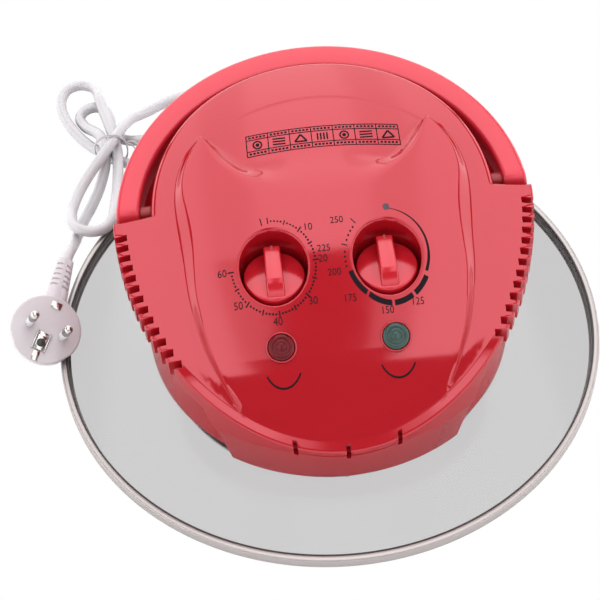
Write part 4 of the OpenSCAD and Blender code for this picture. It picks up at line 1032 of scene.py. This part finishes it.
# ---- materials of the CAD pieces that stay
FINISH = {
    "seal_red": "hub_gaskets",
    "steel": "hub_plate hub_screws guard_screws housing_screws motor_brackets motor_shaft "
             "motor_screws timer_shaft thermostat_body thermostat_shaft control_screws",
    "pan": "reflector_pan heat_shield", "guard": "heater_guard", "quartz": "halogen_lamp",
    "wire": "lamp_filament", "ceramic": "lamp_holders terminal_block", "fan": "convection_fan",
    "brass": "fan_nut", "nylon": "switch_cam motor_posts cooling_fan timer_body",
    "black": "micro_switch", "dark_red": "handle_pins", "red_knob": "switch_plunger",
    "stack": "motor_stator motor_rotor", "copper": "motor_coil thermostat_bulb",
    "neon": "neon_lamps", "fuse": "thermal_fuse", "cores": "mains_wires",
}
for key, names in FINISH.items():
    for node in names.split():
        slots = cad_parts[node].data.materials
        slots.clear()
        slots.append(M[key])

# ---- dial prints, laid on the cover
print_parts = {"print": [], "print_grey": []}


def ink(pts, faces, kind="print"):
    p = np.array(pts, float)
    z = height(p[:, 0], p[:, 1]) + 0.06
    print_parts[kind].append(([(a, b, c) for (a, b), c in zip(p, z)], faces))


def band(centres, sides):
    """Flat band along centres, each with the step from it to the band's edge."""
    pts = []
    for (x, y), (sx, sy) in zip(centres, sides):
        pts += [(x - sx, y - sy), (x + sx, y + sy)]
    ink(pts, grid(len(centres), 2, flip=True))


def spot(x, y, r, n=16, kind="print"):
    ink(circle_points(x, y, r, n), [tuple(range(n))], kind)


def clock(x, y, degrees, r):
    a = radians(degrees)
    return x + r * sin(a), y + r * cos(a)


def bar_mark(x, degrees, r0, r1, w):
    """Radial line on the dial round x, KNOB_Y, at a clock angle."""
    dx, dy = clock(0, 0, degrees, 1)
    steps = max(1, int(r1 - r0))
    reach = [r0 + (r1 - r0) * i / steps for i in range(steps + 1)]
    band([(x + dx * r, KNOB_Y + dy * r) for r in reach], [(dy * w / 2, -dx * w / 2)] * (steps + 1))


def arc_mark(x, y, a0, a1, r0, r1, w0, w1, n=40):
    """Band round x, y between clock angles; its radius and width change evenly."""
    pts = []
    for i in range(n + 1):
        u = i / n
        r, w = r0 + (r1 - r0) * u, w0 + (w1 - w0) * u
        pts += [clock(x, y, a0 + (a1 - a0) * u, r + w * e) for e in (-0.5, 0.5)]
    ink(pts, grid(n + 1, 2, flip=True))


def line_mark(a, b, w):
    d = Vector((b[0] - a[0], b[1] - a[1]))
    n = Vector((-d.y, d.x)).normalized() * w / 2
    steps = max(1, int(d.length / 2))
    centres = [Vector(a) + d * i / steps for i in range(steps + 1)]
    band([(q.x, q.y) for q in centres], [(-n.x, -n.y)] * (steps + 1))


def number(text, x, y, size):
    cu = bpy.data.curves.new("digits", "FONT")
    cu.body = text
    cu.size = size
    cu.align_x = "CENTER"
    cu.align_y = "CENTER"
    cu.resolution_u = 3
    ob = added("digits", cu)
    shown = ob.evaluated_get(bpy.context.evaluated_depsgraph_get())
    me = bpy.data.meshes.new_from_object(shown)
    ink([(x + v.co.x, y + v.co.y) for v in me.vertices], [tuple(p.vertices) for p in me.polygons])
    bpy.data.objects.remove(ob)
    bpy.data.curves.remove(cu)
    bpy.data.meshes.remove(me)


# Time dial: 60 minutes at 4.5 degrees each, heavier towards the middle of the scale
TX, PX, DIAL_R, DIAL_START = -KNOB_X, KNOB_X, 20.5, -2
for minute in range(61):
    a = DIAL_START + 4.5 * minute
    heavy = max(0.5 + 0.5 * sin(min(radians(a), pi * 1.2) / 1.2 - 0.3), 0)
    if minute % 5 == 0:
        reach = 1.8 if minute % 10 == 0 else 1.1
        bar_mark(TX, a, DIAL_R - 1.2, DIAL_R + reach, 0.4 + 0.3 * heavy)
    else:
        spot(*clock(TX, KNOB_Y, a, DIAL_R), 0.38 + 0.16 * heavy, 10)
bar_mark(TX, DIAL_START - 9, DIAL_R - 1.4, DIAL_R + 2.2, 0.5)

# Temperature dial: the off spot, a growing band, four blocks and dots
spot(*clock(PX, KNOB_Y, 5.8, 22.3), 1.65, 24, "print_grey")
arc_mark(PX, KNOB_Y, 9, 113.8, 21.6, 19.9, 0.25, 1.5)
for a0, a1, r0, r1 in ((119.6, 145.8, 20.6, 20.6), (149.4, 176.4, 20.5, 20.5),
                       (180, 213.3, 20.4, 19.2), (217, 253, 19.2, 19.2)):
    arc_mark(PX, KNOB_Y, a0, a1, r0, r1, 2.4, 2.4, 18)
for a in (260, 266, 272, 278, 293.5, 300, 306.5, 312.5):
    spot(*clock(PX, KNOB_Y, a, 20.4), 0.5, 10)
for a, r0, r1 in ((287, 19.6, 22.4), (319, 20.6, 23.8)):
    bar_mark(PX, a, r0, r1, 0.45)

for x, size, rows in ((TX, 4.7, ((10, 49.3, 24.3), (20, 88, 24.2), (30, 133.8, 24.1),
                                 (40, 181, 23.6), (50, 230.6, 24.2), (60, 268, 25.1))),
                      (PX, 4.4, ((125, 149, 24), (150, 186.5, 23.4), (175, 229.5, 26.3),
                                 (200, 258, 26.8), (225, 280.2, 30.6), (250, 308.4, 28.7)))):
    for value, a, r in rows:
        number(str(value), *clock(x, KNOB_Y, a, r), size)
for s in (-1, 1):
    arc_mark(s * LAMP_X, LAMP_Y - 4.8, 120, 240, 9.4, 9.4, 0.75, 0.75, 24)

# Cooking chart: seven plain cells, each with two rules and a simple mark
CHART = ((-36, 40.1), (-36.1, 28), (40.4, 27.3), (40.2, 39.2))
CELLS = 7


def chart(u, v):
    x, y = ((1 - u) * ((1 - v) * CHART[1][i] + v * CHART[0][i])
            + u * ((1 - v) * CHART[2][i] + v * CHART[3][i]) for i in (0, 1))
    return (x + 1.3, y + 2.2 * (1 - (2 * u - 1) ** 2) - 2.3)


def chart_line(u0, v0, u1, v1, w):
    steps = max(1, int(24 * abs(u1 - u0)))
    spots = [chart(u0 + (u1 - u0) * i / steps, v0 + (v1 - v0) * i / steps)
             for i in range(steps + 1)]
    for a, b in zip(spots, spots[1:]):
        line_mark(a, b, w)


for v in (0, 0.24, 0.78, 1):
    chart_line(0, v, 1, v, 0.5)
for i in range(CELLS + 1):
    chart_line(i / CELLS, 0, i / CELLS, 1, 0.5)
for i in range(CELLS):
    uc = (i + 0.5) / CELLS
    for dash in (-0.048, -0.024, 0, 0.024, 0.048):
        for v, w in ((0.12, 1.1), (0.89, 1)):
            chart_line(uc + dash - 0.008, v, uc + dash + 0.008, v, w)
    cx, cy = chart(uc, 0.5)
    kind = i % 4
    if kind == 0:
        arc_mark(cx, cy, 0, 360, 2.1, 2.1, 0.8, 0.8, 24)
        spot(cx, cy, 1, 12)
    elif kind == 1:
        for q in (-1.6, 0, 1.6):
            line_mark((cx - 3.2, cy + q), (cx + 3.2, cy + q), 0.8)
    elif kind == 2:
        left, peak, right = (cx - 3, cy - 1.8), (cx, cy + 2.2), (cx + 3, cy - 1.8)
        for a, b in ((left, peak), (peak, right), (left, right)):
            line_mark(a, b, 0.9)
    else:
        for q in (-2.4, -0.8, 0.8, 2.4):
            line_mark((cx + q, cy - 2), (cx + q, cy + 2), 0.8)

for kind, parts in print_parts.items():
    build("dial_marks_" + kind, joined(*parts), M[kind], smooth=False)

# ---- table, light and background
FLOOR_HALF, FLOOR_Z = 30, -0.0002
floor_me = bpy.data.meshes.new("table_top")
floor_me.from_pydata([(x * FLOOR_HALF, y * FLOOR_HALF, FLOOR_Z)
                      for x, y in ((-1, -1), (1, -1), (1, 1), (-1, 1))], [], [(0, 1, 2, 3)])
floor = added("table_top", floor_me)
paint = shader("table_paint", (0.92, 0.92, 0.92), 0.6, 0, 0.01, 20, 0)
floor_me.materials.append(overlaid(paint, "ShaderNodeEmission", (1, 1, 1), "Is Camera Ray"))

world = bpy.data.worlds.new("studio")
world.use_nodes = True
put(world.node_tree.nodes["Background"], {"Color": (1, 1, 1, 1), "Strength": 0.25})
scene.world = world


def panel(name, at, facing, size_x, size_y, radiance):
    """Soft light that faces down, or along the way it is turned, its place and size in metres."""
    li = bpy.data.lights.new(name, "AREA")
    li.shape = "RECTANGLE"
    li.size, li.size_y = size_x, size_y
    li.energy = radiance * pi * size_x * size_y
    ob = added(name, li)
    ob.matrix_world = Matrix.Translation(at) @ facing
    ob.visible_camera = False


CEILING = 1.55
for name, x0, x1, y0, y1, radiance in (
        ("top_middle", -0.12, 0.20, -0.32, 2.2, 3.5), ("top_left", -0.26, -0.12, -0.32, 2.2, 2.8),
        ("top_right", 0.20, 0.34, -0.32, 2.2, 2.8), ("front_left", -0.26, -0.12, -1.5, -0.32, 1.7),
        ("front_right", 0.20, 0.34, -1.5, -0.32, 1.9), ("outer_left", -0.80, -0.26, -2.1, 2.2, 3.4),
        ("outer_right", 0.34, 0.90, -2.1, 2.2, 3.4)):
    panel(name, ((x0 + x1) / 2, (y0 + y1) / 2, CEILING), Matrix.Identity(4), x1 - x0, y1 - y0,
          radiance)
for name, turn_z, reach, wide, tall, radiance in (
        ("back_wall", 180, 2.3, 3.2, 1.45, 2.4), ("left_wall", -90, 1.7, 4, 1.25, 3),
        ("right_wall", 90, 1.7, 4, 1.25, 3), ("front_wall", 0, 1.6, 3, 0.34, 2.6)):
    spin = turned(turn_z, "Z")
    at = spin @ Vector((0, -reach, 0.05 + tall / 2))
    panel(name, at, spin @ turned(90, "X"), wide, tall, radiance)

scene.view_settings.view_transform = "Standard"
